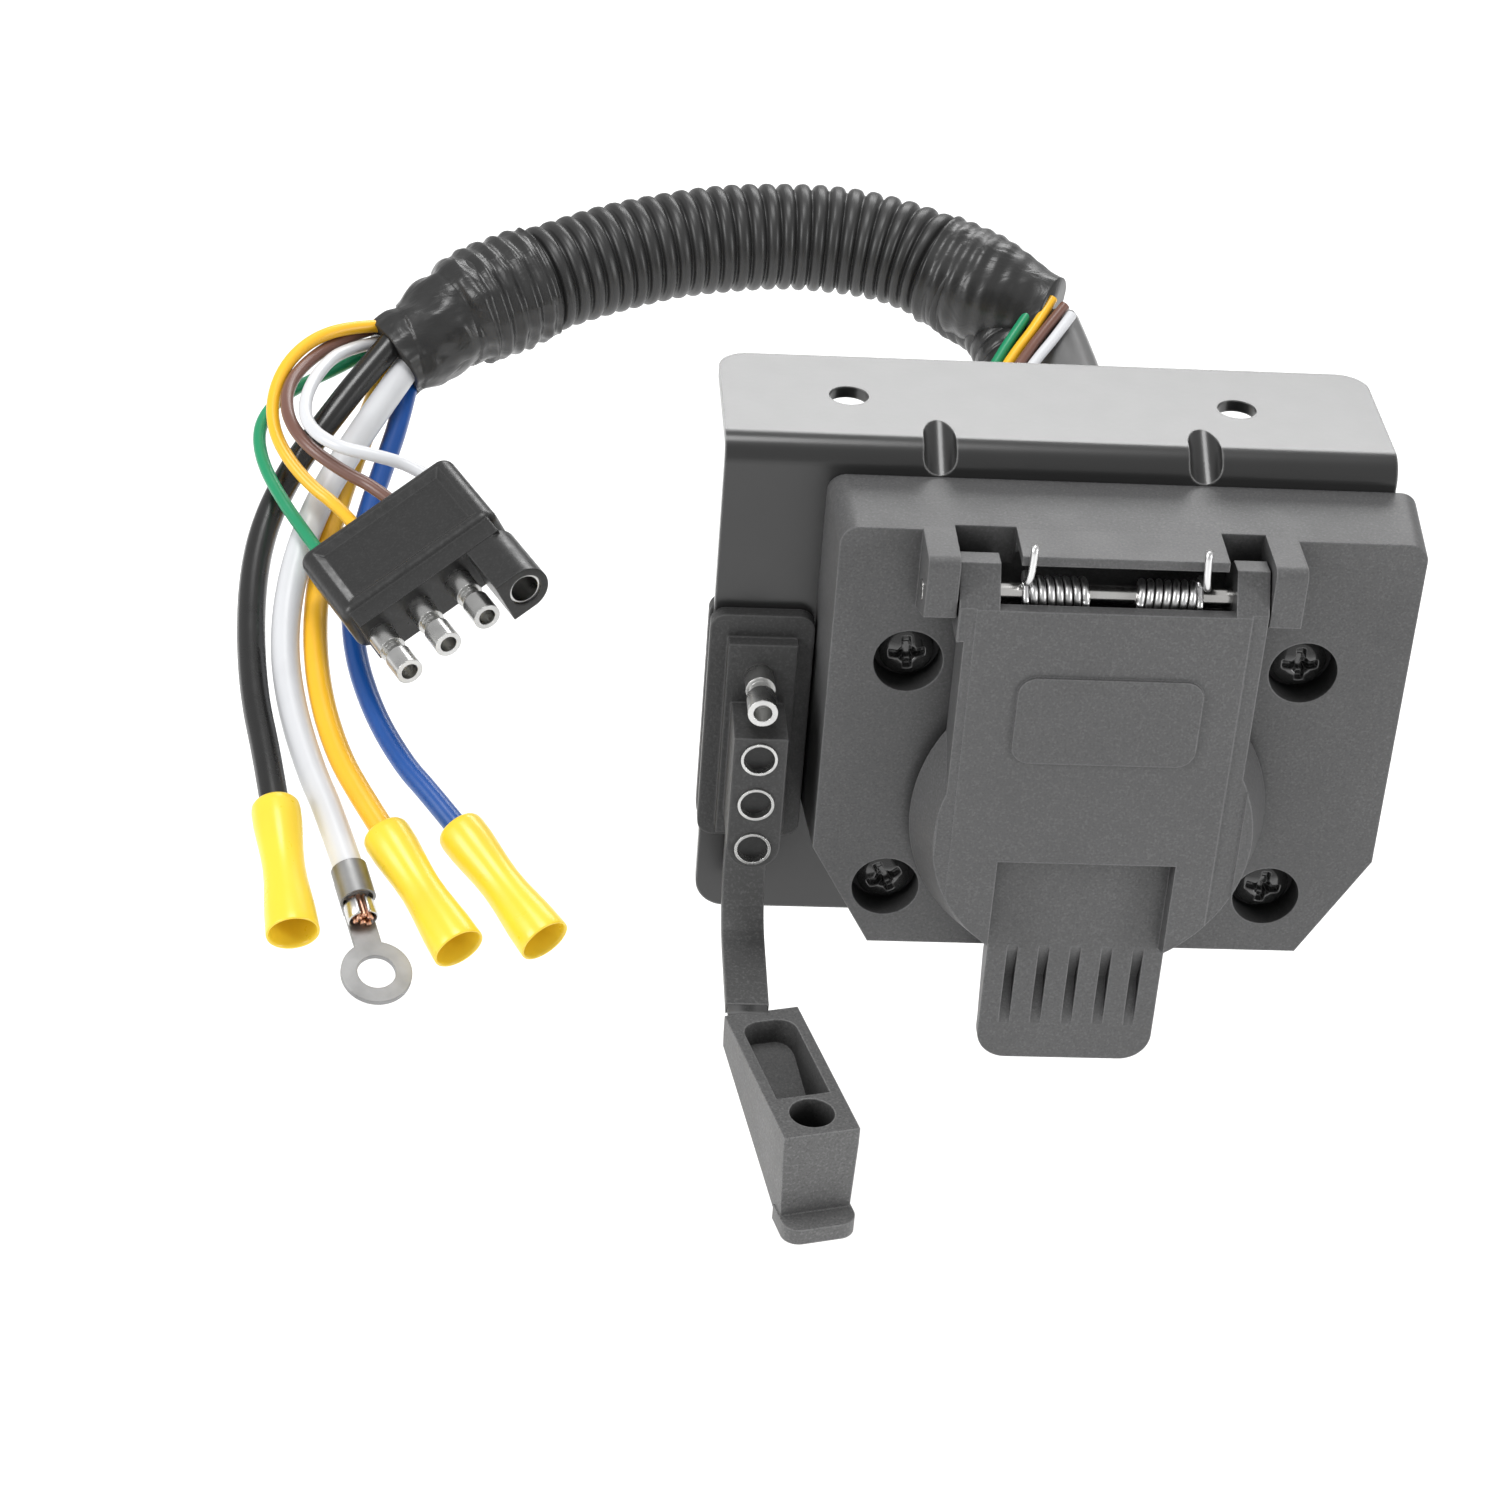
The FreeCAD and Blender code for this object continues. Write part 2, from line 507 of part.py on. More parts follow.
def make_lid():
    """Lid: a hollow disc and panel hung on two ears, with a finger tongue below."""
    body = new_body("spring_lid")
    depth = "lid_front - lid_back"
    pad(body, "XZ_Plane", "lid_back", depth, Circle("axis_across", "axis_height", "lid_rear_radius"),
        taper=f"-atan((lid_rear_radius - lid_face_radius) / ({depth}))")
    pad(body, "XZ_Plane", "lid_back", depth,
        rectangle("lid_left", "panel_bottom", "lid_right", "lid_top"))

    # Ears round the hinge pin, with a flat that slopes up and back from the lid's face
    ear = [("-lid_front", "lid_top"), ("-hinge_front - 1.6", "hinge_height + ear_radius + 0.2"),
           ("-hinge_front + 2", "hinge_height + ear_radius"),
           ("-hinge_front + ear_radius", "hinge_height + 2"),
           ("-hinge_front + ear_radius", "hinge_height - 2"),
           ("-hinge_front + 2", "hinge_height - ear_radius"),
           ("-lid_front", "lid_top - ear_radius")]
    pad(body, "YZ_Plane", "lid_left - ear_flare", "ear_width + ear_flare", ear)
    pad(body, "YZ_Plane", "lid_right - ear_width", "ear_width", ear)

    # Tongue below the disc: set back from the face and thin at its tip
    pocket(body, "XZ_Plane", "lid_front + 1", "lid_front + 1 - tongue_front",
           rectangle("recess_left", "axis_height - lid_rear_radius - 1", "recess_right",
                     "recess_top"))
    tongue = [("-tongue_front", "recess_top"), ("-tongue_front", "tongue_tip"),
              ("-tongue_tip_back", "tongue_tip"), ("-tongue_tip_back", "tongue_thin"),
              ("-lid_back", "tongue_root"), ("-lid_back", "recess_top")]
    pad(body, "YZ_Plane", "tongue_left", "tongue_right - tongue_left", tongue)
    left, right, tip = size("tongue_left"), size("tongue_right"), size("tongue_tip")
    soften(body, "Fillet", "tongue_corner", "y", (left, None, tip), (right, None, tip))
    middle = "(tongue_left + tongue_right) / 2"
    groove = [("-tongue_front - 0.5", "groove_top"),
              ("groove_depth - tongue_front", "groove_deep"),
              ("-tongue_front - 0.5", "groove_bottom")]
    for step in range(-2, 3):
        pocket(body, "YZ_Plane", f"{middle} + {step} * groove_pitch + groove_width / 2",
               "groove_width", groove)

    # Hollow back, with a seat for the gasket
    pocket(body, "XZ_Plane", "lid_back", "gasket_front - lid_back",
           Circle("axis_across", "axis_height", "gasket_outer"), backwards=True)
    inner = "lid_front - lid_wall - lid_back"
    pocket(body, "XZ_Plane", "lid_back - 1", f"{inner} + 1",
           rectangle("lid_left + lid_wall", "axis_height", "lid_right - lid_wall",
                     "lid_top - ear_radius - lid_wall"), backwards=True)
    pocket(body, "XZ_Plane", "lid_back - 1", f"{inner} + 1",
           rectangle("lid_left + ear_width", "axis_height", "lid_right - ear_width",
                     "lid_top + 1"), backwards=True)

    # Side strips a little below the face, and the raised blank panel
    for start, end, step in (("lid_left - 1", "lid_left + flank_left", "flank_step / 2"),
                             ("lid_right - flank_right", "lid_right + 1", "flank_step")):
        pocket(body, "XZ_Plane", "lid_front + 1", f"1 + {step}",
               rectangle(start, "axis_height - lid_rear_radius", end, "lid_top + 9"))
    pad(body, "XZ_Plane", "lid_front - 0.5", "0.5 + badge_raise",
        rectangle("badge_left", "badge_bottom", "badge_right", "badge_top"))
    soften(body, "Fillet", "badge_corner", "y",
           *[(size(x), -size("lid_front") - size("badge_raise") / 2, size(z))
             for x in ("badge_left", "badge_right") for z in ("badge_bottom", "badge_top")])
    pocket(body, "YZ_Plane", "lid_right + 1", "lid_right - lid_left + ear_flare + 2",
           Circle("-hinge_front", "hinge_height", "hinge_radius + hinge_fit"))


def make_gasket():
    """Flat rubber ring in the back of the lid, just clear of the socket's boss."""
    start = "-lid_back + gasket_gap"
    long = "gasket_front - lid_back + gasket_gap"
    ring = rod("gasket_disc", "gasket_outer", long, "axis_across", start, "axis_height", FRONT)
    hole = rod("gasket_hole", "gasket_inner", f"{long} + 2", "axis_across", f"{start} + 1",
               "axis_height", FRONT)
    keep(cut("lid_gasket", ring, hole), "lid_gasket")


def make_hinge_pin():
    pin = rod("hinge_pin", "hinge_radius", "hinge_right - hinge_left", "hinge_left",
              "-hinge_front", "hinge_height", RIGHT)
    keep(pin, "hinge_pin")


def make_spring(label, start, legs):
    """Torsion spring on the pin: a coil, a leg up against the shelf and a leg down the lid."""
    helix = doc.addObject("Part::Helix", label + "_helix")
    bind(helix, Pitch="spring_pitch", Height="spring_pitch * spring_turns",
         Radius="spring_radius")
    wire = doc.addObject("Part::Circle", label + "_wire")
    wire.Placement = Placement(Vector(), Rotation(Vector(1, 0, 0), 90))
    bind(wire, Radius="spring_wire / 2", Placement__Base__x="spring_radius")
    coil = doc.addObject("Part::Sweep", label + "_coil")
    coil.Sections = [wire]
    coil.Spine = (helix, ["Edge1"])
    coil.Solid = True
    coil.Frenet = True
    place(coil, start, "-hinge_front", "hinge_height", RIGHT)
    end = f"{start} + spring_pitch * spring_turns"
    outer, inner = (start, end) if legs == "left" else (end, start)
    up = rod(label + "_up", "spring_wire / 2", "spring_leg_up", outer,
             "-hinge_front - spring_radius", "hinge_height",
             Rotation(Vector(1, 0, 0), size("spring_leg_lean")))
    down = rod(label + "_down", "spring_wire / 2", "spring_leg_down", inner,
               "-hinge_front - spring_radius", "hinge_height",
               Rotation(Vector(1, 0, 0), 180))
    keep(join(label, coil, up, down), label)


# ---------------------------------------------------------------- four-way flat connector

def terminal_height(index):
    return f"terminal_first - {index} * terminal_pitch"


def make_flat_boot():
    """Rubber body that grips the bracket's slot, with a block for three sockets."""
    body = new_body("four_flat_boot")
    gap = "boot_neck_gap"
    pad(body, "XZ_Plane", "plate_front", "boot_flange",
        rectangle("boot_left", "boot_bottom", "boot_right", "boot_top"))
    pad(body, "XZ_Plane", "plate_front - sheet", "sheet",
        rectangle("bracket_left + 1", f"neck_slot_bottom + {gap}", f"neck_slot_right - {gap}",
                  f"neck_slot_top - {gap}"))
    pad(body, "XZ_Plane", "plate_front - sheet - boot_flange", "boot_flange",
        rectangle("boot_left", "boot_bottom", "boot_right", "boot_top"))
    pad(body, "XZ_Plane", "-boot_back", "plate_front - sheet - boot_flange + boot_back",
        rectangle("raised_left", "raised_bottom", "raised_right", "raised_top"))
    pad(body, "XZ_Plane", "plate_front", "raised_front - plate_front",
        rectangle("raised_left", "raised_bottom", "raised_right", "raised_top"))
    pad(body, "XZ_Plane", "plate_front", "block_front - plate_front",
        rectangle("block_left", "block_bottom", "block_right", "block_top"))
    low = size("block_bottom")
    soften(body, "Fillet", "(block_right - block_left) / 2 - 0.2", "y",
           (size("block_left"), -size("block_front") / 2 - size("raised_front") / 2, low),
           (size("block_right"), -size("block_front") / 2 - size("raised_front") / 2, low))
    corners = [(size(x), y, size(z)) for x in ("boot_left", "boot_right")
               for z in ("boot_top", "boot_bottom")
               for y in (-size("plate_front") - size("boot_flange") / 2,
                         -size("plate_front") + size("sheet") + size("boot_flange") / 2)]
    soften(body, "Fillet", "boot_flange", "y", *corners)
    sockets = [Circle("terminal_across", terminal_height(index), "terminal_radius")
               for index in (1, 2, 3)]
    pocket(body, "XZ_Plane", "block_front + 1", "terminal_long + 1", *sockets)
    pocket(body, "XZ_Plane", "raised_front + 1", "terminal_long - 5",
           Circle("terminal_across", terminal_height(0), "flat_pin_radius"))


def make_flat_terminals():
    """Three tubular sockets and one round pin."""
    sockets = []
    for index in (1, 2, 3):
        tube = rod("flat_tube", "terminal_radius", "terminal_long + 0.4", "terminal_across",
                   "terminal_long - block_front", terminal_height(index), FRONT)
        hole = rod("flat_tube_hole", "terminal_bore", "terminal_long", "terminal_across",
                   "terminal_long - 1 - block_front", terminal_height(index), FRONT)
        sockets.append(cut("flat_socket", tube, hole))
    group("four_flat_sockets", sockets)
    start = "-raised_front + terminal_long - 6"
    long = "block_front - raised_front + terminal_long - 6"
    pin = flat_pin("boot_pin", long)
    place(pin, "terminal_across", start, terminal_height(0), FRONT)
    keep(pin, "four_flat_pin")


def flat_pin(name, long):
    """Round pin with a waist and a bored tip, along its own Z."""
    shaft = rod(name + "_root", "flat_pin_radius", f"{long} - 7", "0", "0", "0")
    waist = rod(name + "_waist", "flat_pin_waist", "3", "0", "0", f"{long} - 8")
    shoulder = cone(name + "_shoulder", "flat_pin_waist", "flat_pin_radius", "1.5", "0", "0",
                    f"{long} - 6")
    nose = rod(name + "_nose", "flat_pin_radius", "4.6", "0", "0", f"{long} - 4.6")
    bore = rod(name + "_bore", "flat_pin_bore", "5", "0", "0", f"{long} - 4")
    return cut(name, join(name + "_solid", shaft, waist, shoulder, nose), bore)


def make_strap():
    """Rubber strap: straight down, round a bend, and forward to the dust cap."""
    body = new_body("cap_strap")
    left = "terminal_across - strap_width / 2"
    inner = "(strap_bend - strap_thick / 2)"
    outer = "(strap_bend + strap_thick / 2)"
    centre = ("-strap_front + strap_thick / 2 - strap_bend", "strap_bend_top")
    steps = 6
    bend = [(f"strap_turn * {step} / {steps}") for step in range(steps + 1)]
    reach = f"(strap_end_front + {centre[0]})"
    run = f"({reach} + strap_bend * cos(strap_turn)) / sin(strap_turn)"

    def around(radius, turn):
        return (f"{centre[0]} + {radius} * cos({turn})", f"{centre[1]} - {radius} * sin({turn})")

    def past(radius):
        start = around(radius, "strap_turn")
        return (f"{start[0]} - {run} * sin(strap_turn)", f"{start[1]} - {run} * cos(strap_turn)")

    outline = [("-strap_front + strap_thick", "strap_top")]
    outline += [around(outer, turn) for turn in bend]
    outline += [past(outer), past(inner)]
    outline += [around(inner, turn) for turn in reversed(bend)]
    outline += [("-strap_front", "strap_top")]
    pad(body, "YZ_Plane", left, "strap_width", outline)


def make_dust_cap():
    """Rubber cap that covers the three sockets and the pin; it hangs mouth up on its strap."""
    body = new_body("dust_cap")
    half = "cap_wide / 2"
    side = [("0", "0"), ("-cap_long", "0"), ("-cap_long", "-cap_tall"), ("0", "-cap_back_tall")]
    pad(body, "YZ_Plane", f"-{half}", "cap_wide", side)
    for sign in ("-", ""):
        wedge = [(f"{sign}({half} + 1)", "-cap_back_tall / 2"),
                 (f"{sign}{half}", "-cap_back_tall / 2"),
                 (f"{sign}({half} - cap_narrow)", "-cap_tall - 1"),
                 (f"{sign}({half} + 1)", "-cap_tall - 1")]
        pocket(body, "XZ_Plane", "cap_long + 1", "cap_long + 2", wedge)
    pad(body, "YZ_Plane", "-tab_wide / 2", "tab_wide",
        [("-cap_long + 3", "-cap_tall + tab_thick"), ("-cap_long - tab_reach",
                                                      "-cap_tall + tab_thick"),
         ("-cap_long - tab_reach", "-cap_tall"), ("-cap_long + 3", "-cap_tall")])
    soften(body, "Fillet", "tab_thick", "z",
           *[(sign * size("tab_wide") / 2, -size("cap_long") - size("tab_reach"), None)
             for sign in (-1, 1)])
    slot = [("-cap_slot_back", "1"), ("-cap_slot_front", "1"),
            ("-cap_slot_front", "-cap_slot_deep"), ("-cap_slot_back", "-cap_slot_deep_back")]
    pocket(body, "YZ_Plane", "cap_slot_wide / 2", "cap_slot_wide", slot)
    soften(body, "Fillet", "cap_slot_corner", "z",
           *[(sign * size("cap_slot_wide") / 2, -size("cap_slot_back"), None)
             for sign in (-1, 1)])
    pocket(body, "XY_Plane", "1", "cap_hole_deep + 1",
           Circle("0", "-cap_hole_front", "cap_hole_radius"))
    place(body, "cap_across", "-cap_back_front", "cap_top", Rotation(Vector(0, 0, 1),
                                                                     size("cap_yaw")))


# ---------------------------------------------------------------- harness

ROUTES = {
    "loom": [(-93, 107, -39), (-84.5, 112, -37), (-74.5, 117, -35), (-62, 122.5, -33),
             (-46.5, 127, -31.5), (-29.5, 129, -31), (-13.5, 127, -31.5), (-1, 121, -33.5),
             (7.5, 112.5, -37), (12, 103.5, -40.5), (14, 94.5, -44)],
    "cable_jacket": [(18.5, 108.5, -38.8), (21.5, 98.2, -43), (22.7, 87.4, -46.4),
                     (21.6, 75, -49.8), (17.7, 62.6, -53), (12.3, 51.4, -55.5),
                     (9, 38.5, -56.2), (9, 25.5, -56.2)],
    "wire_black": [(-106.6, 97.6, -41.5), (-112.2, 90.6, -45.7), (-117.7, 83.6, -50.7),
                   (-124.2, 74.3, -56.4), (-129, 62, -62.7), (-130.2, 47.4, -69),
                   (-128.6, 27.8, -75.8), (-124.9, 11.9, -80.7), (-122.5, -1.1, -85.4)],
    "wire_white": [(-104.2, 95.7, -46.2), (-107.3, 89.5, -48.5), (-112.4, 79.1, -52.2),
                   (-118.4, 66.8, -57.6), (-122.7, 53.1, -64.5), (-123.9, 38.5, -71.6),
                   (-121.8, 25.1, -77.2), (-117.6, 11.8, -82.2), (-113.9, 3.4, -85.2),
                   (-108.8, -11.7, -91)],
    "wire_yellow": [(-107.4, 101, -48.4), (-109.6, 93.6, -51.8), (-112, 84.8, -55.6),
                    (-115.1, 72.7, -60.1), (-117.8, 58.6, -65.4), (-118.7, 43.5, -70.7),
                    (-117.2, 28.9, -75.8), (-113.6, 16.1, -80.1), (-109, 6.1, -82.9),
                    (-102.1, -5.3, -87)],
    "wire_blue": [(-103.9, 97, -50.7), (-105.1, 89.5, -54.1), (-107.3, 80.2, -57.6),
                  (-110.4, 67, -62.3), (-112.4, 52.4, -67.5), (-111.4, 37.2, -73),
                  (-107.2, 23.6, -77.6), (-101.5, 12.6, -81), (-97.1, 6.7, -82.5),
                  (-89.2, -4.1, -86.5)],
    "plug_lead_yellow": [(-109.2, 100.7, -39.9), (-115.2, 97.4, -38.7), (-121.8, 92.5, -39.3),
                         (-126.4, 85.2, -41.4), (-128.2, 76.7, -44.9), (-126.6, 69.1, -48.6),
                         (-120.9, 61.9, -52.7), (-114.6, 57, -55), (-110.4, 49.5, -56.1)],
    "plug_lead_brown": [(-110.5, 103, -41.6), (-116.2, 97.5, -41.2), (-122, 89.2, -41.8),
                        (-125.4, 80.1, -42.6), (-125, 71.2, -44.4), (-121.1, 64.6, -46.6),
                        (-114.3, 60.2, -49.3), (-108.4, 57.6, -50.9), (-103.9, 52.4, -52.1)],
    "plug_lead_green": [(-109.2, 103.1, -45), (-115.8, 96.9, -46.5), (-122.4, 91.3, -47.4),
                        (-127.8, 85.2, -48.4), (-130.6, 78.1, -50.4), (-129.5, 70.3, -53),
                        (-125.8, 62.4, -55.9), (-121.2, 55.2, -58.8), (-116.9, 46.8, -60)],
    "plug_lead_white": [(-109, 101.2, -43.4), (-115.4, 95.1, -42), (-119.6, 85, -41.3),
                        (-122, 74.9, -42.4), (-121.2, 66.3, -43.4), (-115.8, 60.5, -44.4),
                        (-108.2, 59, -45.2), (-101.6, 58.4, -46.8), (-97.5, 55.2, -48.2)],
    "feed_lead_white": [(21.2, 103.3, -33.4), (17.8, 98.8, -36.1), (13.7, 94.4, -39.1),
                        (8.2, 86, -42.9), (1.5, 75.5, -45.8), (-7.5, 63, -46.4),
                        (-17.5, 50.5, -45.4), (-28.5, 37.5, -43.6), (-37.3, 24.5, -41.8),
                        (-42.1, 11, -40.4), (-44.4, -1, -40)],
    "feed_lead_brown": [(20, 105.1, -32.4), (16.1, 101.1, -35.6), (11.9, 95.7, -38.8),
                        (5.9, 86.2, -43.2), (-1, 75, -47.2), (-9.5, 63, -49.3),
                        (-19, 50.5, -50.2), (-29.5, 37.5, -50.1), (-37.7, 24.5, -49.5),
                        (-42.3, 11, -49), (-44.4, -1, -48.6)],
    "feed_lead_yellow": [(17.8, 107.1, -32), (14.6, 102.4, -35.5), (10, 97.2, -39.1),
                         (3.8, 87.3, -44.6), (-3, 75.2, -48.9), (-11.5, 63.2, -52.4),
                         (-20.5, 50.5, -54.7), (-30.3, 37.5, -56), (-38.2, 24.5, -56.9),
                         (-42.5, 11, -57.2), (-44.4, -1, -57.1)],
    "feed_lead_green": [(16.2, 109.5, -31.8), (12.3, 104.3, -35.6), (8, 98.8, -39.6),
                        (2, 88.5, -45.4), (-5, 76.6, -50.8), (-13.5, 64, -55.6),
                        (-22, 50.8, -59.2), (-31.2, 37.6, -61.9), (-38.7, 24.6, -64),
                        (-42.6, 11, -65.3), (-44.4, -1, -65.7)],
}


def tube_along(points, diameter):
    """Round tube whose path is straight runs joined by the largest arcs that they allow."""
    route = [Vector(*point) for point in points]
    runs = [after - before for before, after in zip(route, route[1:])]
    edges = []
    radii = []
    here = route[0]
    for corner, arriving, leaving in zip(route[1:], runs, runs[1:]):
        tangent = 0.45 * min(arriving.Length, leaving.Length)
        radii.append(tangent / math.tan(arriving.getAngle(leaving) / 2))
        way_in = Vector(arriving).normalize()
        way_out = Vector(leaving).normalize()
        begin = corner - way_in * tangent
        end = corner + way_out * tangent
        to_centre = Vector(way_out - way_in).normalize()
        reach = math.hypot(radii[-1], tangent) - radii[-1]
        edges.append(Part.LineSegment(here, begin).toShape())
        edges.append(Part.Arc(begin, corner + to_centre * reach, end).toShape())
        here = end
    edges.append(Part.LineSegment(here, route[-1]).toShape())
    path = Part.Wire(edges)
    ring = Part.Wire(Part.makeCircle(diameter / 2, route[0], runs[0]))
    return path.makePipe(Part.Face(ring)), path.Length, radii


def make_cord(label, diameter):
    """One cord of the harness, with its volume and its bends checked."""
    shape, length, radii = tube_along(ROUTES[label], diameter)
    section = math.pi * diameter ** 2 / 4
    print(f"{label}: length {length:.1f}, radii {min(radii):.1f} to {max(radii):.1f},"
          f" volume ratio {shape.Volume / (section * length):.4f}")
    if abs(shape.Volume / (section * length) - 1) > 0.01:
        raise RuntimeError(f"{label}: the tube's volume is wrong")
    solid(label, shape)


def make_cords():
    make_cord("loom", size("loom_diameter"))
    make_cord("cable_jacket", 2 * size("jacket_radius"))
    for colour in ("black", "white", "yellow", "blue"):
        make_cord(f"wire_{colour}", size(f"{colour}_diameter"))
    for colour in ("yellow", "brown", "green", "white"):
        make_cord(f"plug_lead_{colour}", size("lead_diameter"))
        make_cord(f"feed_lead_{colour}", size("feed_diameter"))


def make_tape():
    """Tape that gathers the loom's left end down to the bundle of wires."""
    start = Vector(*ROUTES["loom"][0])
    end = Vector(-106.5, 98.8, -45.4)
    wrap = cone("tape_wrap", "tape_start_radius", "tape_end_radius", (end - start).Length,
                start.x, start.y, start.z, Rotation(Vector(0, 0, 1), end - start))
    keep(wrap, "tape_wrap")


# Where each butt connector starts, and how far it turns to the side and dips
BUTT_PLACES = {
    "black": (-123.3, 3.5, -83.7, 9.9, 20),
    "yellow": (-104.6, -1.3, -85.5, 31.4, 18.5),
    "blue": (-92, -0.2, -85.1, 36.2, 18.5),
}
RING_PLACE = (-110.3, -7.2, -89.3, 17.9, 21.5)


def facing(turn, dip):
    """Rotation that points a part's own Z forward, turned to the right and dipped."""
    return (Rotation(Vector(0, 0, 1), turn) * Rotation(Vector(1, 0, 0), dip)
            * Rotation(Vector(0, 0, 1), Vector(0, -1, 0)))


def make_butt_connectors():
    """Insulated sleeves with flared ends, each round a metal barrel."""
    barrels = []
    for colour, (x, y, z, turn, dip) in BUTT_PLACES.items():
        name = "butt_connector_" + colour
        flare, waist = "butt_flare", "butt_waist"
        outside = join(name + "_out",
                       cone(name + "_tail", flare, flare + " - 0.3", "6", "0", "0", "0"),
                       cone(name + "_neck", flare + " - 0.3", waist, "2.5", "0", "0", "6"),
                       rod(name + "_mid", waist, "butt_long - 17", "0", "0", "8.5"),
                       cone(name + "_swell", waist, flare + " - 0.3", "2.5", "0", "0",
                            "butt_long - 8.5"),
                       cone(name + "_head", flare + " - 0.3", flare, "6", "0", "0",
                            "butt_long - 6"))
        inside = join(name + "_in",
                      rod(name + "_bore", "butt_bore", "butt_long + 2", "0", "0", "-1"),
                      rod(name + "_mouth", "butt_mouth", "butt_mouth_deep", "0", "0",
                          "butt_long - butt_mouth_deep"))
        sleeve = cut(name, outside, inside)
        place(sleeve, x, y, z, facing(turn, dip))
        keep(sleeve, name)
        tube = rod("barrel_tube", "butt_bore", "butt_barrel_long", "0", "0", "5.5")
        hole = rod("barrel_hole", "butt_barrel_bore", "butt_barrel_long + 2", "0", "0", "4.5")
        barrels.append(place(cut("butt_barrel", tube, hole), x, y, z, facing(turn, dip)))
    group("butt_barrels", barrels)


def make_ring_terminal():
    """Ring terminal: a crimped barrel, a neck and a flat ring, with strands at the crimp."""
    x, y, z, turn, dip = RING_PLACE
    barrel = rod("crimp_tube", "crimp_radius", "crimp_long", "0", "0", "0")
    bore = rod("crimp_bore", "white_diameter / 2", "crimp_long + 2", "0", "0", "-1")
    neck = block("ring_neck", "ring_neck", "ring_thick", "ring_reach - ring_hole - crimp_long",
                 "-ring_neck / 2", "-crimp_radius", "crimp_long")
    disc = rod("ring_disc", "ring_radius", "ring_thick", "0", "-crimp_radius", "ring_reach",
               BACK)
    hole = rod("ring_hole_tool", "ring_hole", "ring_thick + 2", "0", "-crimp_radius - 1",
               "ring_reach", BACK)
    overlap = block("neck_root", "ring_neck", "ring_thick", "crimp_long", "-ring_neck / 2",
                    "-crimp_radius - ring_thick / 2", "0.5")
    shape = cut("ring_terminal", join("ring_solid", barrel, neck, disc, overlap),
                join("ring_holes", bore, hole))
    place(shape, x, y, z, facing(turn, dip))
    keep(shape, "ring_terminal")
    strands = rod("copper_strands", "white_diameter / 2 - 0.6", "4.5", "0", "0",
                  "crimp_long - 0.6")
    place(strands, x, y, z, facing(turn, dip))
    keep(strands, "copper_strands")


# ---------------------------------------------------------------- trailer-side plug

PLUG_PLACE = Placement(Vector(-96.4, 29, -56), Rotation(23.6, -29.4, 5.1))


def make_plug():
    """Moulded plug for the trailer: pins on three poles and a shrouded socket on the fourth."""
    body = new_body("trailer_plug")
    half = "plug_wide / 2"
    pad(body, "XY_Plane", "-plug_thick / 2", "plug_thick",
        rectangle(f"-{half}", "plug_nose", half, "plug_long"))
    corners = [(sign * size("plug_wide") / 2, None, turn * size("plug_thick") / 2)
               for sign in (-1, 1) for turn in (-1, 1)]
    soften(body, "Fillet", "plug_corner", "y", *corners)
    soften(body, "Fillet", "plug_round", "x",
           *[(None, size(end), turn * size("plug_thick") / 2)
             for end in ("plug_nose", "plug_long") for turn in (-1, 1)])
    pad(body, "XY_Plane", "-plug_thick / 2 + plug_nose_inset / 2",
        "plug_thick - plug_nose_inset",
        rectangle(f"-{half} + plug_nose_inset", "0", f"{half} - plug_nose_inset",
                  "plug_nose + 1"))
    last = "1.5 * plug_pitch"
    pad(body, "XY_Plane", "-plug_socket_wide / 2", "plug_socket_wide",
        rectangle(f"{last} - plug_socket_wide / 2", "-plug_pin_long", last, "1"))
    pad(body, "XZ_Plane", "-1", "plug_pin_long + 1", Circle(last, "0", "plug_socket_wide / 2"))
    pocket(body, "XY_Plane", "plug_thick / 2", "plug_pocket",
           rectangle(f"-{half} + plug_rim_wide", "plug_nose + plug_rim_deep",
                     f"{half} - plug_rim_wide", "plug_long - plug_rim_deep"),
           taper="-atan(plug_rim_slope / plug_pocket)")
    pocket(body, "XZ_Plane", "plug_pin_long + 1", "plug_pin_long + 1",
           Circle(last, "0", "terminal_radius"))
    for index in range(3):
        pocket(body, "XZ_Plane", "1", "5", Circle(f"({index} - 1.5) * plug_pitch", "0",
                                                  "flat_pin_radius"))
    body.Placement = PLUG_PLACE

    pins = []
    for index in range(3):
        pin = flat_pin(f"plug_pin_{index}", "plug_pin_long + 3")
        pin.Placement = PLUG_PLACE * Placement(Vector((index - 1.5) * size("plug_pitch"), 3, 0),
                                               FRONT)
        pins.append(pin)
    group("plug_pins", pins)
    tube = rod("plug_tube", "terminal_radius", "plug_pin_long - 0.4", "0", "0", "0")
    hole = rod("plug_tube_hole", "terminal_bore", "plug_pin_long", "0", "0", "1")
    socket = cut("plug_socket", tube, hole)
    socket.Placement = PLUG_PLACE * Placement(Vector(1.5 * size("plug_pitch"), 0, 0), FRONT)
    keep(socket, "plug_socket")


# ---------------------------------------------------------------- build, check and write

make_bracket()
make_housing()
make_rear_cover()
make_contacts()
make_screws()
make_lid()
make_gasket()
make_hinge_pin()
make_spring("lid_spring_left", "left_spring", "left")
make_spring("lid_spring_right", "right_spring", "right")
make_flat_boot()
make_flat_terminals()
make_strap()
make_dust_cap()
make_cords()
make_tape()
make_butt_connectors()
make_ring_terminal()
make_plug()
doc.recompute()

for item in doc.Objects:
    if "Invalid" in item.State or "Error" in item.State:
        raise RuntimeError(f"{item.Label} failed to compute: {item.State}")
for node in nodes:
    if node.Shape.isNull() or not node.Shape.isValid():
        raise RuntimeError(f"{node.Label} has no valid shape")

os.makedirs("parts", exist_ok=True)
for node in nodes:
    node.Shape.exportStep(f"parts/{node.Label}.step")
print(f"{len(nodes)} nodes written")
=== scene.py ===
import json
import math

import bpy
from mathutils import Matrix, Vector, noise


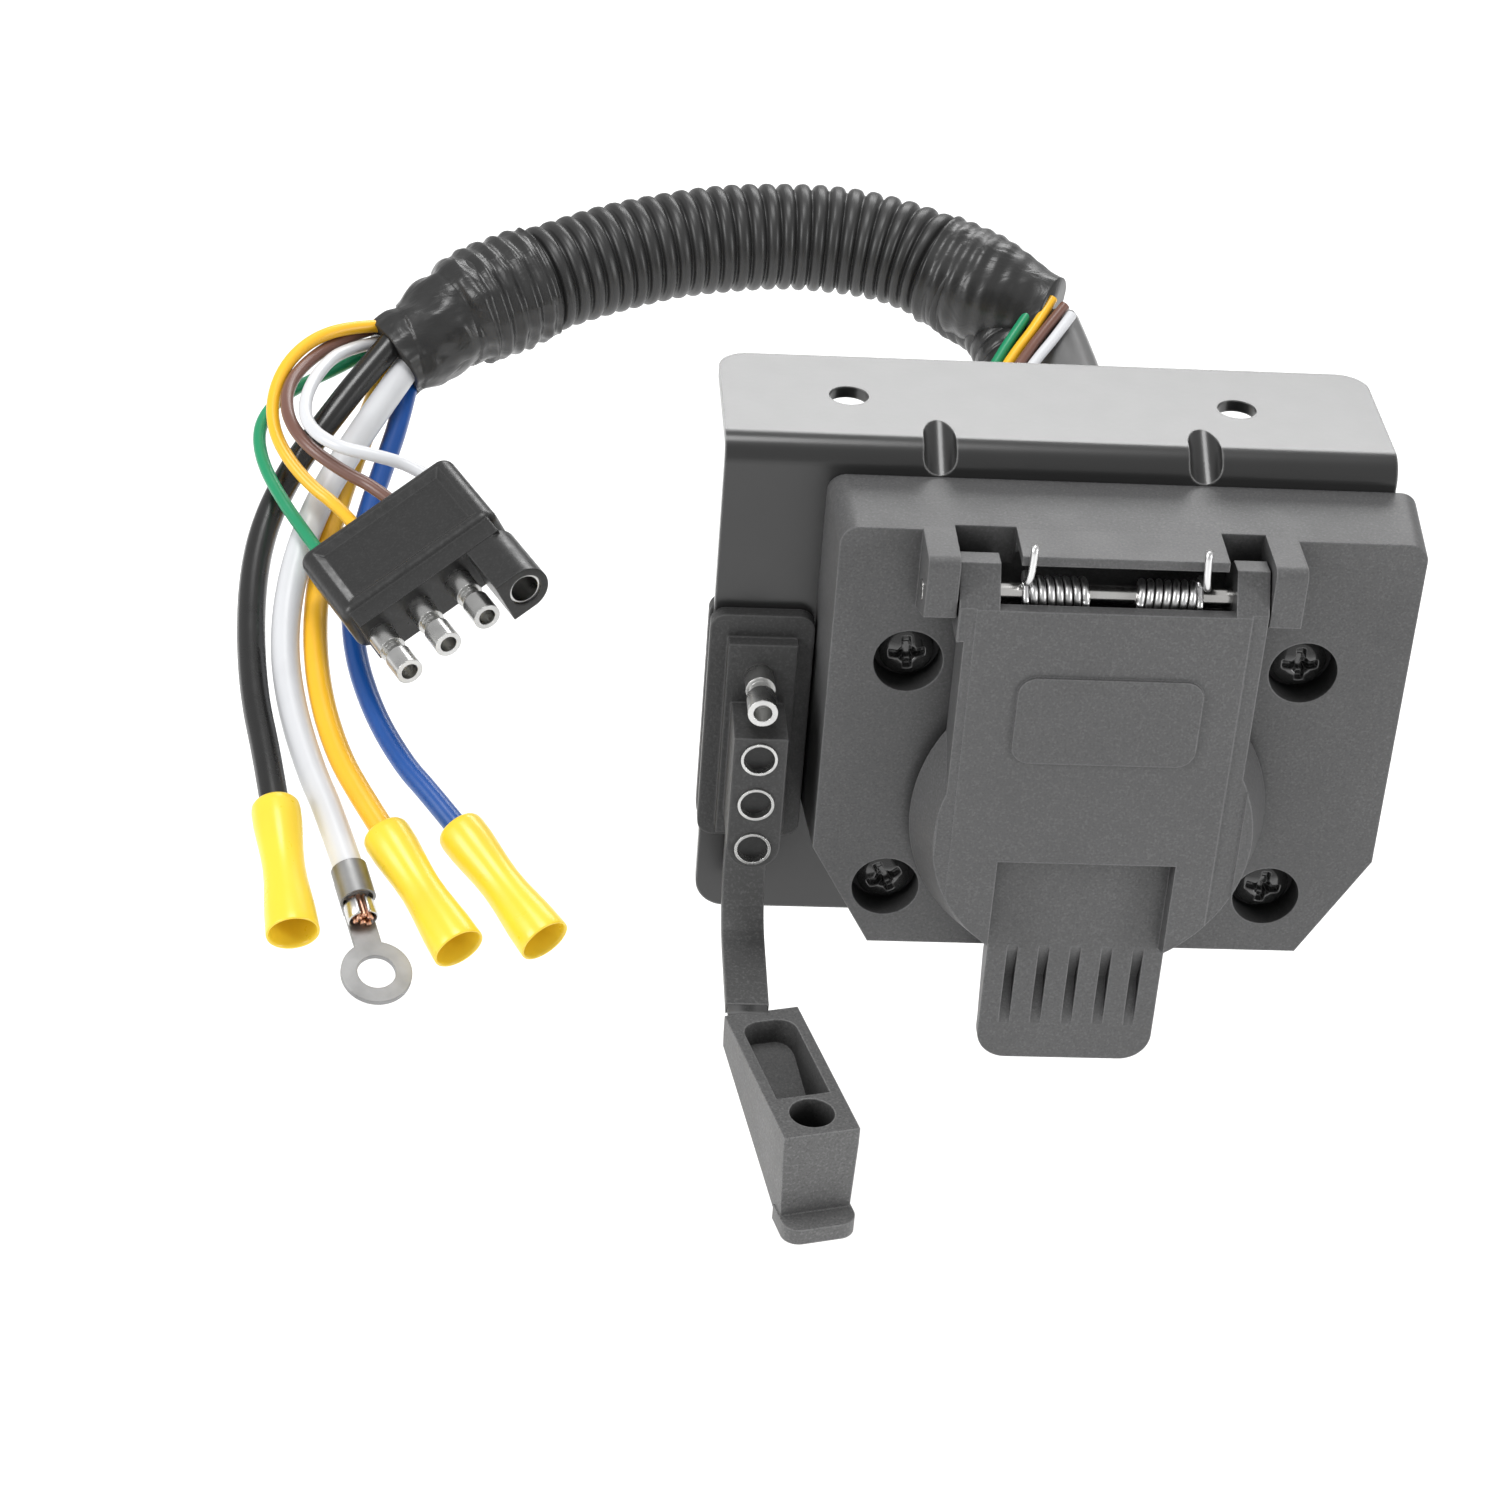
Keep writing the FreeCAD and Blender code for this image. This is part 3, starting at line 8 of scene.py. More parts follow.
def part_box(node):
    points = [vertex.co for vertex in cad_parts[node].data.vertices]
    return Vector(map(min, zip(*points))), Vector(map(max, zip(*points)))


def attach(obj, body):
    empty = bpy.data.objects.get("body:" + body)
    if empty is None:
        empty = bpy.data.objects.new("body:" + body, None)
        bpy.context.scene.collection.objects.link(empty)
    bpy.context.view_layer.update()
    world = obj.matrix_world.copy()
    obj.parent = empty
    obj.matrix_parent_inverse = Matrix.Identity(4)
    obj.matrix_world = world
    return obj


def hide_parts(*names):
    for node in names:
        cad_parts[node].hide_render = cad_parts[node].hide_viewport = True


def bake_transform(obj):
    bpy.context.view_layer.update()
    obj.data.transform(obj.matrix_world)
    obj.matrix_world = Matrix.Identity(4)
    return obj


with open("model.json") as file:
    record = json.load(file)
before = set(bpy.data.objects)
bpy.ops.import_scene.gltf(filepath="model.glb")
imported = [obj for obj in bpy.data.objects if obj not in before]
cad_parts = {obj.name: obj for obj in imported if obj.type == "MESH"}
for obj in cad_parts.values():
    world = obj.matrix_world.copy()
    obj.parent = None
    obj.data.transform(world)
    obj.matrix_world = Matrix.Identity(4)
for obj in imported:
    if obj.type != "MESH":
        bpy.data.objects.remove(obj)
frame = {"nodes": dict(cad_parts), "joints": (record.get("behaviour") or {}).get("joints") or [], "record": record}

# A trailer wiring connector: a round seven-way socket with a spring lid and a flat four-way
# socket with a dust cap on one steel bracket, and the harness that runs from them to a flat
# plug and four wires. Blender works in metres. The lengths below are in millimetres, and MM
# turns them into metres, unless a comment says that they are in metres already.
MM = 0.001
UP = Vector((0, 0, 1))
NODES = frame["nodes"]
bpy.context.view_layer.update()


def put(name, data):
    """Add an object to the scene."""
    item = bpy.data.objects.new(name, data)
    bpy.context.scene.collection.objects.link(item)
    return item


# ---------------------------------------------------------------- camera, floor and lights

CAMERA_PLACE = Vector((-91.7, -530.2, 267.8)) * MM
CAMERA_TURN = -5.25      # degrees to the left of the +Y direction, negative looks right
CAMERA_DIP = 32.22       # degrees below the horizon
CAMERA_ROLL = 4.43       # degrees
CAMERA_LENS = 89.0       # millimetres
SENSOR_WIDTH = 36
CLIP_START = 0.01        # metres

FLOOR_HEIGHT = -0.175    # metres
FLOOR_REACH = 4          # metres from the middle to each edge
FLOOR_SHADE = (0.93, 0.93, 0.93, 1)
FLOOR_ROUGHNESS = 0.9
FLOOR_GLOW = 0.12        # keeps the paper white where the lights fall off

WORLD_STRENGTH = 0.56
LIGHT_TARGET = (-0.03, 0, -0.05)
# Each softbox's place, then its width and height, in metres, then its power in watts.
SOFTBOXES = {
    "back_softbox": ((0.25, 0.95, 0.62), (0.8, 0.36), 5.6),
    "top_softbox": ((-0.15, 0.0, 0.9), (0.35, 0.35), 4.4),
    "left_softbox": ((-0.8, -0.35, 0.4), (0.25, 0.45), 4.2),
    "right_softbox": ((0.75, -0.45, 0.15), (0.2, 0.45), 3),
}


def add_camera():
    data = bpy.data.cameras.new("camera")
    camera = put("camera", data)
    turn, dip, roll = map(math.radians, (CAMERA_TURN, CAMERA_DIP, CAMERA_ROLL))
    forward = Vector((-math.sin(turn) * math.cos(dip), math.cos(turn) * math.cos(dip),
                      -math.sin(dip)))
    level = forward.cross(UP).normalized()
    above = level.cross(forward)
    right = level * math.cos(roll) + above * math.sin(roll)
    up = above * math.cos(roll) - level * math.sin(roll)
    camera.matrix_world = Matrix.Translation(CAMERA_PLACE) @ Matrix(
        (right, up, -forward)).transposed().to_4x4()
    data.lens = CAMERA_LENS
    data.sensor_width = SENSOR_WIDTH
    data.clip_start = CLIP_START
    bpy.context.scene.camera = camera


def add_floor():
    mesh = bpy.data.meshes.new("floor")
    corners = [(-1, -1), (1, -1), (1, 1), (-1, 1)]
    mesh.from_pydata([(x * FLOOR_REACH, y * FLOOR_REACH, FLOOR_HEIGHT) for x, y in corners],
                     [], [(0, 1, 2, 3)])
    floor = put("floor", mesh)
    paint = bpy.data.materials.new("floor_paper")
    paint.use_nodes = True
    shader = paint.node_tree.nodes["Principled BSDF"]
    shader.inputs["Base Color"].default_value = FLOOR_SHADE
    shader.inputs["Roughness"].default_value = FLOOR_ROUGHNESS
    shader.inputs["Emission Color"].default_value = (1, 1, 1, 1)
    shader.inputs["Emission Strength"].default_value = FLOOR_GLOW
    mesh.materials.append(paint)


def add_light(name, place, size, power):
    data = bpy.data.lights.new(name, "AREA")
    data.shape = "RECTANGLE"
    data.size, data.size_y = size
    data.energy = power
    light = put(name, data)
    light.location = Vector(place)
    aim = Vector(LIGHT_TARGET) - Vector(place)
    light.rotation_mode = "QUATERNION"
    light.rotation_quaternion = aim.to_track_quat("-Z", "Y")


def add_lights():
    bpy.context.scene.view_settings.view_transform = "Standard"
    world = bpy.data.worlds.new("studio")
    bpy.context.scene.world = world
    world.use_nodes = True
    background = world.node_tree.nodes["Background"]
    background.inputs["Color"].default_value = (1, 1, 1, 1)
    background.inputs["Strength"].default_value = WORLD_STRENGTH
    for name, (place, size, power) in SOFTBOXES.items():
        add_light(name, place, size, power)


# ---------------------------------------------------------------- materials

class Paint:
    """A node-based material, built up one feature at a time in object coordinates."""

    def __init__(self, name, base, roughness, metallic=0.0):
        self.material = bpy.data.materials.new(name)
        self.material.use_nodes = True
        self.tree = self.material.node_tree
        self.shader = self.tree.nodes["Principled BSDF"]
        self.shader.inputs["Metallic"].default_value = metallic
        self.coords = self.tree.nodes.new("ShaderNodeTexCoord").outputs["Object"]
        self.colour = self.node("ShaderNodeRGB").outputs[0]
        self.colour.default_value = (*base, 1)
        self.rough = self.node("ShaderNodeValue").outputs[0]
        self.rough.default_value = roughness
        self.normal = None

    def node(self, kind, **settings):
        made = self.tree.nodes.new(kind)
        for key, value in settings.items():
            setattr(made, key, value)
        return made

    def link(self, source, target):
        self.tree.links.new(source, target)

    def noise(self, scale, detail=3.0, stretch=(1, 1, 1), distortion=0.0):
        """Noise whose features are about 1/scale of a metre across."""
        mapping = self.node("ShaderNodeMapping")
        mapping.inputs["Scale"].default_value = stretch
        self.link(self.coords, mapping.inputs["Vector"])
        texture = self.node("ShaderNodeTexNoise")
        texture.inputs["Scale"].default_value = scale
        texture.inputs["Detail"].default_value = detail
        texture.inputs["Distortion"].default_value = distortion
        self.link(mapping.outputs[0], texture.inputs["Vector"])
        return texture.outputs["Fac"]

    def ramp(self, value, low, high, start=0.0, end=1.0):
        """Remap a value between two limits."""
        remap = self.node("ShaderNodeMapRange")
        remap.inputs["From Min"].default_value = low
        remap.inputs["From Max"].default_value = high
        remap.inputs["To Min"].default_value = start
        remap.inputs["To Max"].default_value = end
        self.link(value, remap.inputs["Value"])
        return remap.outputs[0]

    def tint(self, factor, shade):
        """Mix another colour in by a factor."""
        mix = self.node("ShaderNodeMix", data_type="RGBA")
        self.link(factor, mix.inputs["Factor"])
        self.link(self.colour, mix.inputs["A"])
        mix.inputs["B"].default_value = (*shade, 1)
        self.colour = mix.outputs["Result"]
        return self

    def roughen(self, value, amount):
        """Add a value, centred on a half, to the roughness."""
        centred = self.node("ShaderNodeMath", operation="MULTIPLY_ADD")
        self.link(value, centred.inputs[0])
        centred.inputs[1].default_value = amount
        centred.inputs[2].default_value = -amount / 2
        total = self.node("ShaderNodeMath", operation="ADD", use_clamp=True)
        self.link(self.rough, total.inputs[0])
        self.link(centred.outputs[0], total.inputs[1])
        self.rough = total.outputs[0]
        return self

    def bump(self, value, depth, strength):
        """Raise the surface by up to depth millimetres."""
        bump = self.node("ShaderNodeBump")
        bump.inputs["Strength"].default_value = strength
        bump.inputs["Distance"].default_value = depth * MM
        self.link(value, bump.inputs["Height"])
        if self.normal is not None:
            self.link(self.normal, bump.inputs["Normal"])
        self.normal = bump.outputs[0]
        return self

    def edges(self, radius, shade=None, wear_and_highlight=0.0):
        """Shade the edges as if rounded, and mix in a lighter colour along them, partly rubbed wear and partly a
        painted highlight.
        """
        bevel = self.node("ShaderNodeBevel", samples=4)
        bevel.inputs["Radius"].default_value = radius * MM
        if shade is not None:
            geometry = self.node("ShaderNodeNewGeometry")
            dot = self.node("ShaderNodeVectorMath", operation="DOT_PRODUCT")
            self.link(bevel.outputs[0], dot.inputs[0])
            self.link(geometry.outputs["True Normal"], dot.inputs[1])
            # Mask for the lighter edge colour: rubbed wear and painted highlight.
            edge = self.ramp(dot.outputs["Value"], 0.995, 0.9, 0.0, wear_and_highlight)
            self.tint(edge, shade)
        self.normal = bevel.outputs[0]
        return self

    def paint_hollow_shade(self, reach, amount):
        """Paint shade into the insides of slots and wells that are up to reach millimetres across."""
        occlusion = self.node("ShaderNodeAmbientOcclusion", samples=6)
        occlusion.inputs["Distance"].default_value = reach * MM
        self.tint(self.ramp(occlusion.outputs["AO"], 0.62, 0.2, 0, amount),
                  (0.004, 0.004, 0.004))
        return self

    def finish(self, coat=None, specular=None):
        """Join everything to the shader; a coat is its weight and roughness."""
        self.link(self.colour, self.shader.inputs["Base Color"])
        self.link(self.rough, self.shader.inputs["Roughness"])
        if self.normal is not None:
            self.link(self.normal, self.shader.inputs["Normal"])
        if coat is not None:
            self.shader.inputs["Coat Weight"].default_value = coat[0]
            self.shader.inputs["Coat Roughness"].default_value = coat[1]
        if specular is not None:
            self.shader.inputs["Specular IOR Level"].default_value = specular
        return self.material


def moulded_plastic(name, base, roughness=0.5, grain=0.04, speckle=0.45):
    """Dark moulded plastic with a fine spark-eroded grain, edges painted lighter as rubbed wear and as painted
    highlight, and painted shade in its slots and wells.
    """
    paint = Paint(name, base, roughness)
    # Edges painted lighter: rubbed wear and painted highlight.
    paint.edges(0.4, tuple(min(1, 3.2 * part) for part in base), 0.7)
    paint.tint(paint.ramp(paint.noise(2400, 2), 0.5, 0.72, 0, speckle),
               tuple(1.9 * part for part in base))
    paint.tint(paint.ramp(paint.noise(2600, 2), 0.5, 0.3, 0, speckle),
               tuple(0.5 * part for part in base))
    paint.tint(paint.ramp(paint.noise(30, 4), 0.4, 0.7, 0, 0.35),
               tuple(0.75 * part for part in base))
    paint.roughen(paint.noise(120, 3), 0.16)
    paint.bump(paint.noise(1500, 3), grain, 0.7)
    # Painted shade inside slots, wells and the hinge gap.
    paint.paint_hollow_shade(12, 0.9)
    return paint.finish()


def powder_coat(name):
    """Satin black powder coat on sheet steel, with a little orange peel."""
    paint = Paint(name, (0.01, 0.01, 0.01), 0.34)
    # Edges painted lighter: rubbed wear and painted highlight.
    paint.edges(0.5, (0.3, 0.3, 0.3), 0.6)
    paint.roughen(paint.noise(160, 4), 0.06)
    paint.bump(paint.noise(900, 2), 0.012, 0.5)
    return paint.finish(coat=(0.55, 0.22))


def grainy_rubber(name, base=(0.02, 0.02, 0.02), roughness=0.5, depth=0.09):
    """Black rubber with a coarse pebbled skin."""
    paint = Paint(name, base, roughness)
    # Edges painted lighter: rubbed wear and painted highlight.
    paint.edges(0.5, tuple(4 * part for part in base), 0.6)
    paint.tint(paint.ramp(paint.noise(2200, 2), 0.5, 0.72, 0, 0.4),
               tuple(2.6 * part for part in base))
    paint.roughen(paint.noise(700, 3), 0.3)
    paint.bump(paint.noise(1300, 4), depth, 0.9)
    return paint.finish()


def smooth_rubber(name, base=(0.012, 0.012, 0.012), roughness=0.42):
    """Black moulded rubber with a soft sheen."""
    paint = Paint(name, base, roughness)
    paint.edges(0.7)
    paint.tint(paint.ramp(paint.noise(60, 5), 0.4, 0.75, 0, 0.5),
               tuple(1.8 * part for part in base))
    paint.roughen(paint.noise(200, 4), 0.25)
    paint.bump(paint.noise(1800, 2), 0.012, 0.6)
    paint.bump(paint.noise(90, 3), 0.1, 0.35)
    return paint.finish()


def bright_metal(name, base=(0.78, 0.77, 0.75), roughness=0.24):
    """Bright steel or tin with faint drawing lines and dull patches."""
    paint = Paint(name, base, roughness, metallic=1.0)
    paint.edges(0.2)
    paint.tint(paint.ramp(paint.noise(180, 4), 0.4, 0.8, 0, 0.55),
               tuple(0.55 * part for part in base))
    paint.roughen(paint.noise(260, 4), 0.22)
    paint.bump(paint.noise(300, 3, stretch=(1, 12, 12)), 0.02, 0.5)
    return paint.finish()


def insulation(name, base, roughness=0.33):
    """Vinyl wire insulation: smooth, slightly wavy and a little dusty."""
    paint = Paint(name, base, roughness)
    paint.tint(paint.ramp(paint.noise(90, 4), 0.45, 0.8, 0, 0.3),
               tuple(0.7 * part for part in base))
    paint.roughen(paint.noise(220, 3), 0.18)
    paint.bump(paint.noise(380, 2), 0.05, 0.35)
    return paint.finish(specular=0.55)


def polished_black(name):
    """Glossy black screw finish."""
    paint = Paint(name, (0.016, 0.016, 0.016), 0.22)
    # Rims painted lighter: rubbed wear and painted highlight.
    paint.edges(0.25, (0.12, 0.12, 0.12), 0.6)
    paint.roughen(paint.noise(500, 3), 0.1)
    return paint.finish(coat=(1, 0.08))


def ribbed_plastic(name):
    """Glossy black conduit plastic, clean but for faint scuffs."""
    paint = Paint(name, (0.018, 0.018, 0.018), 0.4)
    paint.tint(paint.ramp(paint.noise(70, 5), 0.5, 0.8, 0, 0.5), (0.035, 0.035, 0.035))
    paint.roughen(paint.noise(150, 4), 0.14)
    paint.bump(paint.noise(1500, 2), 0.008, 0.5)
    return paint.finish()


def wound_vinyl(name):
    """Shiny black tape with small soft wrinkles."""
    paint = Paint(name, (0.02, 0.02, 0.02), 0.33)
    paint.tint(paint.ramp(paint.noise(90, 5), 0.5, 0.8, 0, 0.6), (0.04, 0.04, 0.04))
    paint.roughen(paint.noise(180, 4), 0.2)
    paint.bump(paint.noise(130, 4, stretch=(1, 2.2, 1), distortion=1.2), 0.5, 0.55)
    return paint.finish()


def make_materials():
    """Every finish on the object, by the record's slot."""
    return {
        "bracket_black": powder_coat("bracket_coat"),
        "housing_plastic": moulded_plastic("housing_plastic", (0.076, 0.076, 0.077)),
        "contact_plastic": moulded_plastic("contact_plastic", (0.02, 0.02, 0.02)),
        "bright_steel": bright_metal("pin_steel", roughness=0.18),
        "spring_steel": bright_metal("spring_steel", (0.72, 0.72, 0.72), 0.3),
        "tinned_metal": bright_metal("tinned_metal", (0.62, 0.62, 0.61), 0.28),
        "zinc_steel": bright_metal("zinc_steel", (0.6, 0.61, 0.63), 0.35),
        "brass_contacts": bright_metal("brass_contacts", (0.75, 0.56, 0.27), 0.25),
        "copper": bright_metal("copper", (0.8, 0.46, 0.32), 0.35),
        "black_screws": polished_black("screw_black"),
        "black_rubber": smooth_rubber("black_rubber"),
        "boot_rubber": grainy_rubber("boot_rubber", (0.03, 0.03, 0.03)),
        "cap_rubber": moulded_plastic("cap_rubber", (0.1, 0.1, 0.1), 0.5, 0.05, 0.6),
        "plug_rubber": grainy_rubber("plug_rubber", (0.017, 0.017, 0.017), 0.34, 0.01),
        "loom_plastic": ribbed_plastic("loom_plastic"),
        "tape_vinyl": wound_vinyl("tape_vinyl"),
        "jacket_vinyl": smooth_rubber("jacket_vinyl", (0.11, 0.11, 0.11), 0.34),
        "insulation_black": insulation("insulation_black", (0.013, 0.013, 0.013), 0.28),
        "insulation_white": insulation("insulation_white", (0.66, 0.67, 0.69)),
        "insulation_yellow": insulation("insulation_yellow", (0.92, 0.5, 0.02)),
        "insulation_blue": insulation("insulation_blue", (0.004, 0.075, 0.33)),
        "insulation_brown": insulation("insulation_brown", (0.16, 0.075, 0.055)),
        "insulation_green": insulation("insulation_green", (0.01, 0.27, 0.12)),
        "sleeve_yellow": insulation("sleeve_yellow", (0.9, 0.64, 0.04), 0.3),
    }


def paint_nodes(paints):
    """Give each CAD node the finish of its slot, or, for the strap and the ring terminal, a finish of its own: a
    grainy rubber and a dark, rough tin.
    """
    slots = {part["node"]: part["material_slot"] for part in frame["record"]["subparts"]}
    own_finishes = {"cap_strap": grainy_rubber("strap_rubber", (0.062, 0.062, 0.062)),
            "ring_terminal": bright_metal("dull_tin", (0.3, 0.3, 0.3), 0.5)}
    for name, item in NODES.items():
        item.data.materials.clear()
        item.data.materials.append(own_finishes.get(name, paints[slots[name]]))


# ---------------------------------------------------------------- mesh helpers

def smooth_object(name, vertices, faces, paint, marks=None):
    """A smooth-shaded mesh piece; marks give each face's material when paint is a list."""
    mesh = bpy.data.meshes.new(name)
    mesh.from_pydata([tuple(vertex) for vertex in vertices], [], faces)
    for material in paint if isinstance(paint, list) else [paint]:
        mesh.materials.append(material)
    if marks is not None:
        mesh.polygons.foreach_set("material_index", marks)
    mesh.polygons.foreach_set("use_smooth", [True] * len(faces))
    mesh.update()
    return put(name, mesh)


def quads(rings, sides, closed=False):
    """Faces between rings of points; closed joins the last ring to the first."""
    faces = []
    for ring in range(rings if closed else rings - 1):
        after = (ring + 1) % rings
        for step in range(sides):
            beside = (step + 1) % sides
            faces.append((ring * sides + step, ring * sides + beside,
                          after * sides + beside, after * sides + step))
    return faces


def flipped(faces):
    """The same four-sided faces, seen from their other side."""
    return [(one, four, three, two) for one, two, three, four in faces]


def on_bracket(item, slot, *nodes):
    """Fix a piece to the bracket in place of the CAD nodes that it shows."""
    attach(item, "bracket")
    if nodes:
        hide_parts(*nodes)
    return item


class Line:
    """A smooth line with arc lengths and a set of axes carried along without twisting."""

    def __init__(self, points, start_up=UP):
        self.points = [Vector(point) for point in points]
        self.arcs = [0.0]
        for before, after in zip(self.points, self.points[1:]):
            self.arcs.append(self.arcs[-1] + (after - before).length)
        self.length = self.arcs[-1]
        self.axes = []
        up = start_up
        for index in range(len(self.points)):
            before = self.points[max(index - 1, 0)]
            after = self.points[min(index + 1, len(self.points) - 1)]
            along = (after - before).normalized()
            up = (up - along * up.dot(along)).normalized()
            self.axes.append((along, up, along.cross(up)))

    def at(self, arc):
        """Point and axes at one arc length."""
        arc = min(max(arc, 0.0), self.length)
        low, high = 0, len(self.arcs) - 1
        while high - low > 1:
            half = (low + high) // 2
            if self.arcs[half] > arc:
                high = half
            else:
                low = half
        share = (arc - self.arcs[low]) / (self.arcs[high] - self.arcs[low])
        point = self.points[low].lerp(self.points[high], share)
        return point, [first.lerp(second, share).normalized()
                       for first, second in zip(self.axes[low], self.axes[high])]


def sweep(name, line, stations, radius, paint, sides, shift=None, mark=None):
    """Skin rings round a line. radius(arc, angle) and shift(arc) are in metres, and
    mark(arc) says which material a ring has when paint is a list."""
    vertices = []
    for arc in stations:
        point, (along, up, side) = line.at(arc)
        middle = point + (shift(arc) if shift else Vector())
        for step in range(sides):
            angle = math.tau * step / sides
            reach = radius(arc, angle)
            vertices.append(middle + (up * math.cos(angle) + side * math.sin(angle)) * reach)
    faces = quads(len(stations), sides)
    marks = [mark(arc) if mark else 0 for arc in stations[:-1] for _ in range(sides)]
    faces.append(tuple(reversed(range(sides))))
    faces.append(tuple(range(len(vertices) - sides, len(vertices))))
    marks += [marks[0], marks[-1]]
    return smooth_object(name, vertices, faces, paint, marks)


def even(start, end, count):
    """Evenly spaced values from start to end, both included."""
    return [start + (end - start) * step / count for step in range(count + 1)]


def ease(value, low, high):
    """Smooth step from 0 at low to 1 at high."""
    share = min(max((value - low) / (high - low), 0.0), 1.0)
    return share * share * (3 - 2 * share)


def smooth_curve(name, points, steps):
    """A curve drawn by points in metres, rounded at its corners and reaching both ends."""
    data = bpy.data.curves.new(name, "CURVE")
    data.dimensions = "3D"
    data.resolution_u = steps
    spline = data.splines.new("NURBS")
    spline.points.add(len(points) - 1)
    for knot, point in zip(spline.points, points):
        knot.co = (*point, 1)
    spline.order_u = 3
    spline.use_endpoint_u = True
    return put(name, data)


def followed(curve, start_up=UP):
    """The line that a bare curve follows; the curve itself is taken away."""
    bpy.context.view_layer.update()
    points = [vertex.co.copy() for vertex in bpy.data.meshes.new_from_object(curve).vertices]
    bpy.data.objects.remove(curve)
    return Line(points, start_up)


def tube_through(name, points, radius, paint, sides=12):
    """A round wire through a list of points, rounded at its corners."""
    line = followed(smooth_curve(name + "_line", points, 6), Vector((0.3, 0.2, 1)).normalized())
    return sweep(name, line, line.arcs, lambda arc, angle: radius, paint, sides)


# ---------------------------------------------------------------- harness

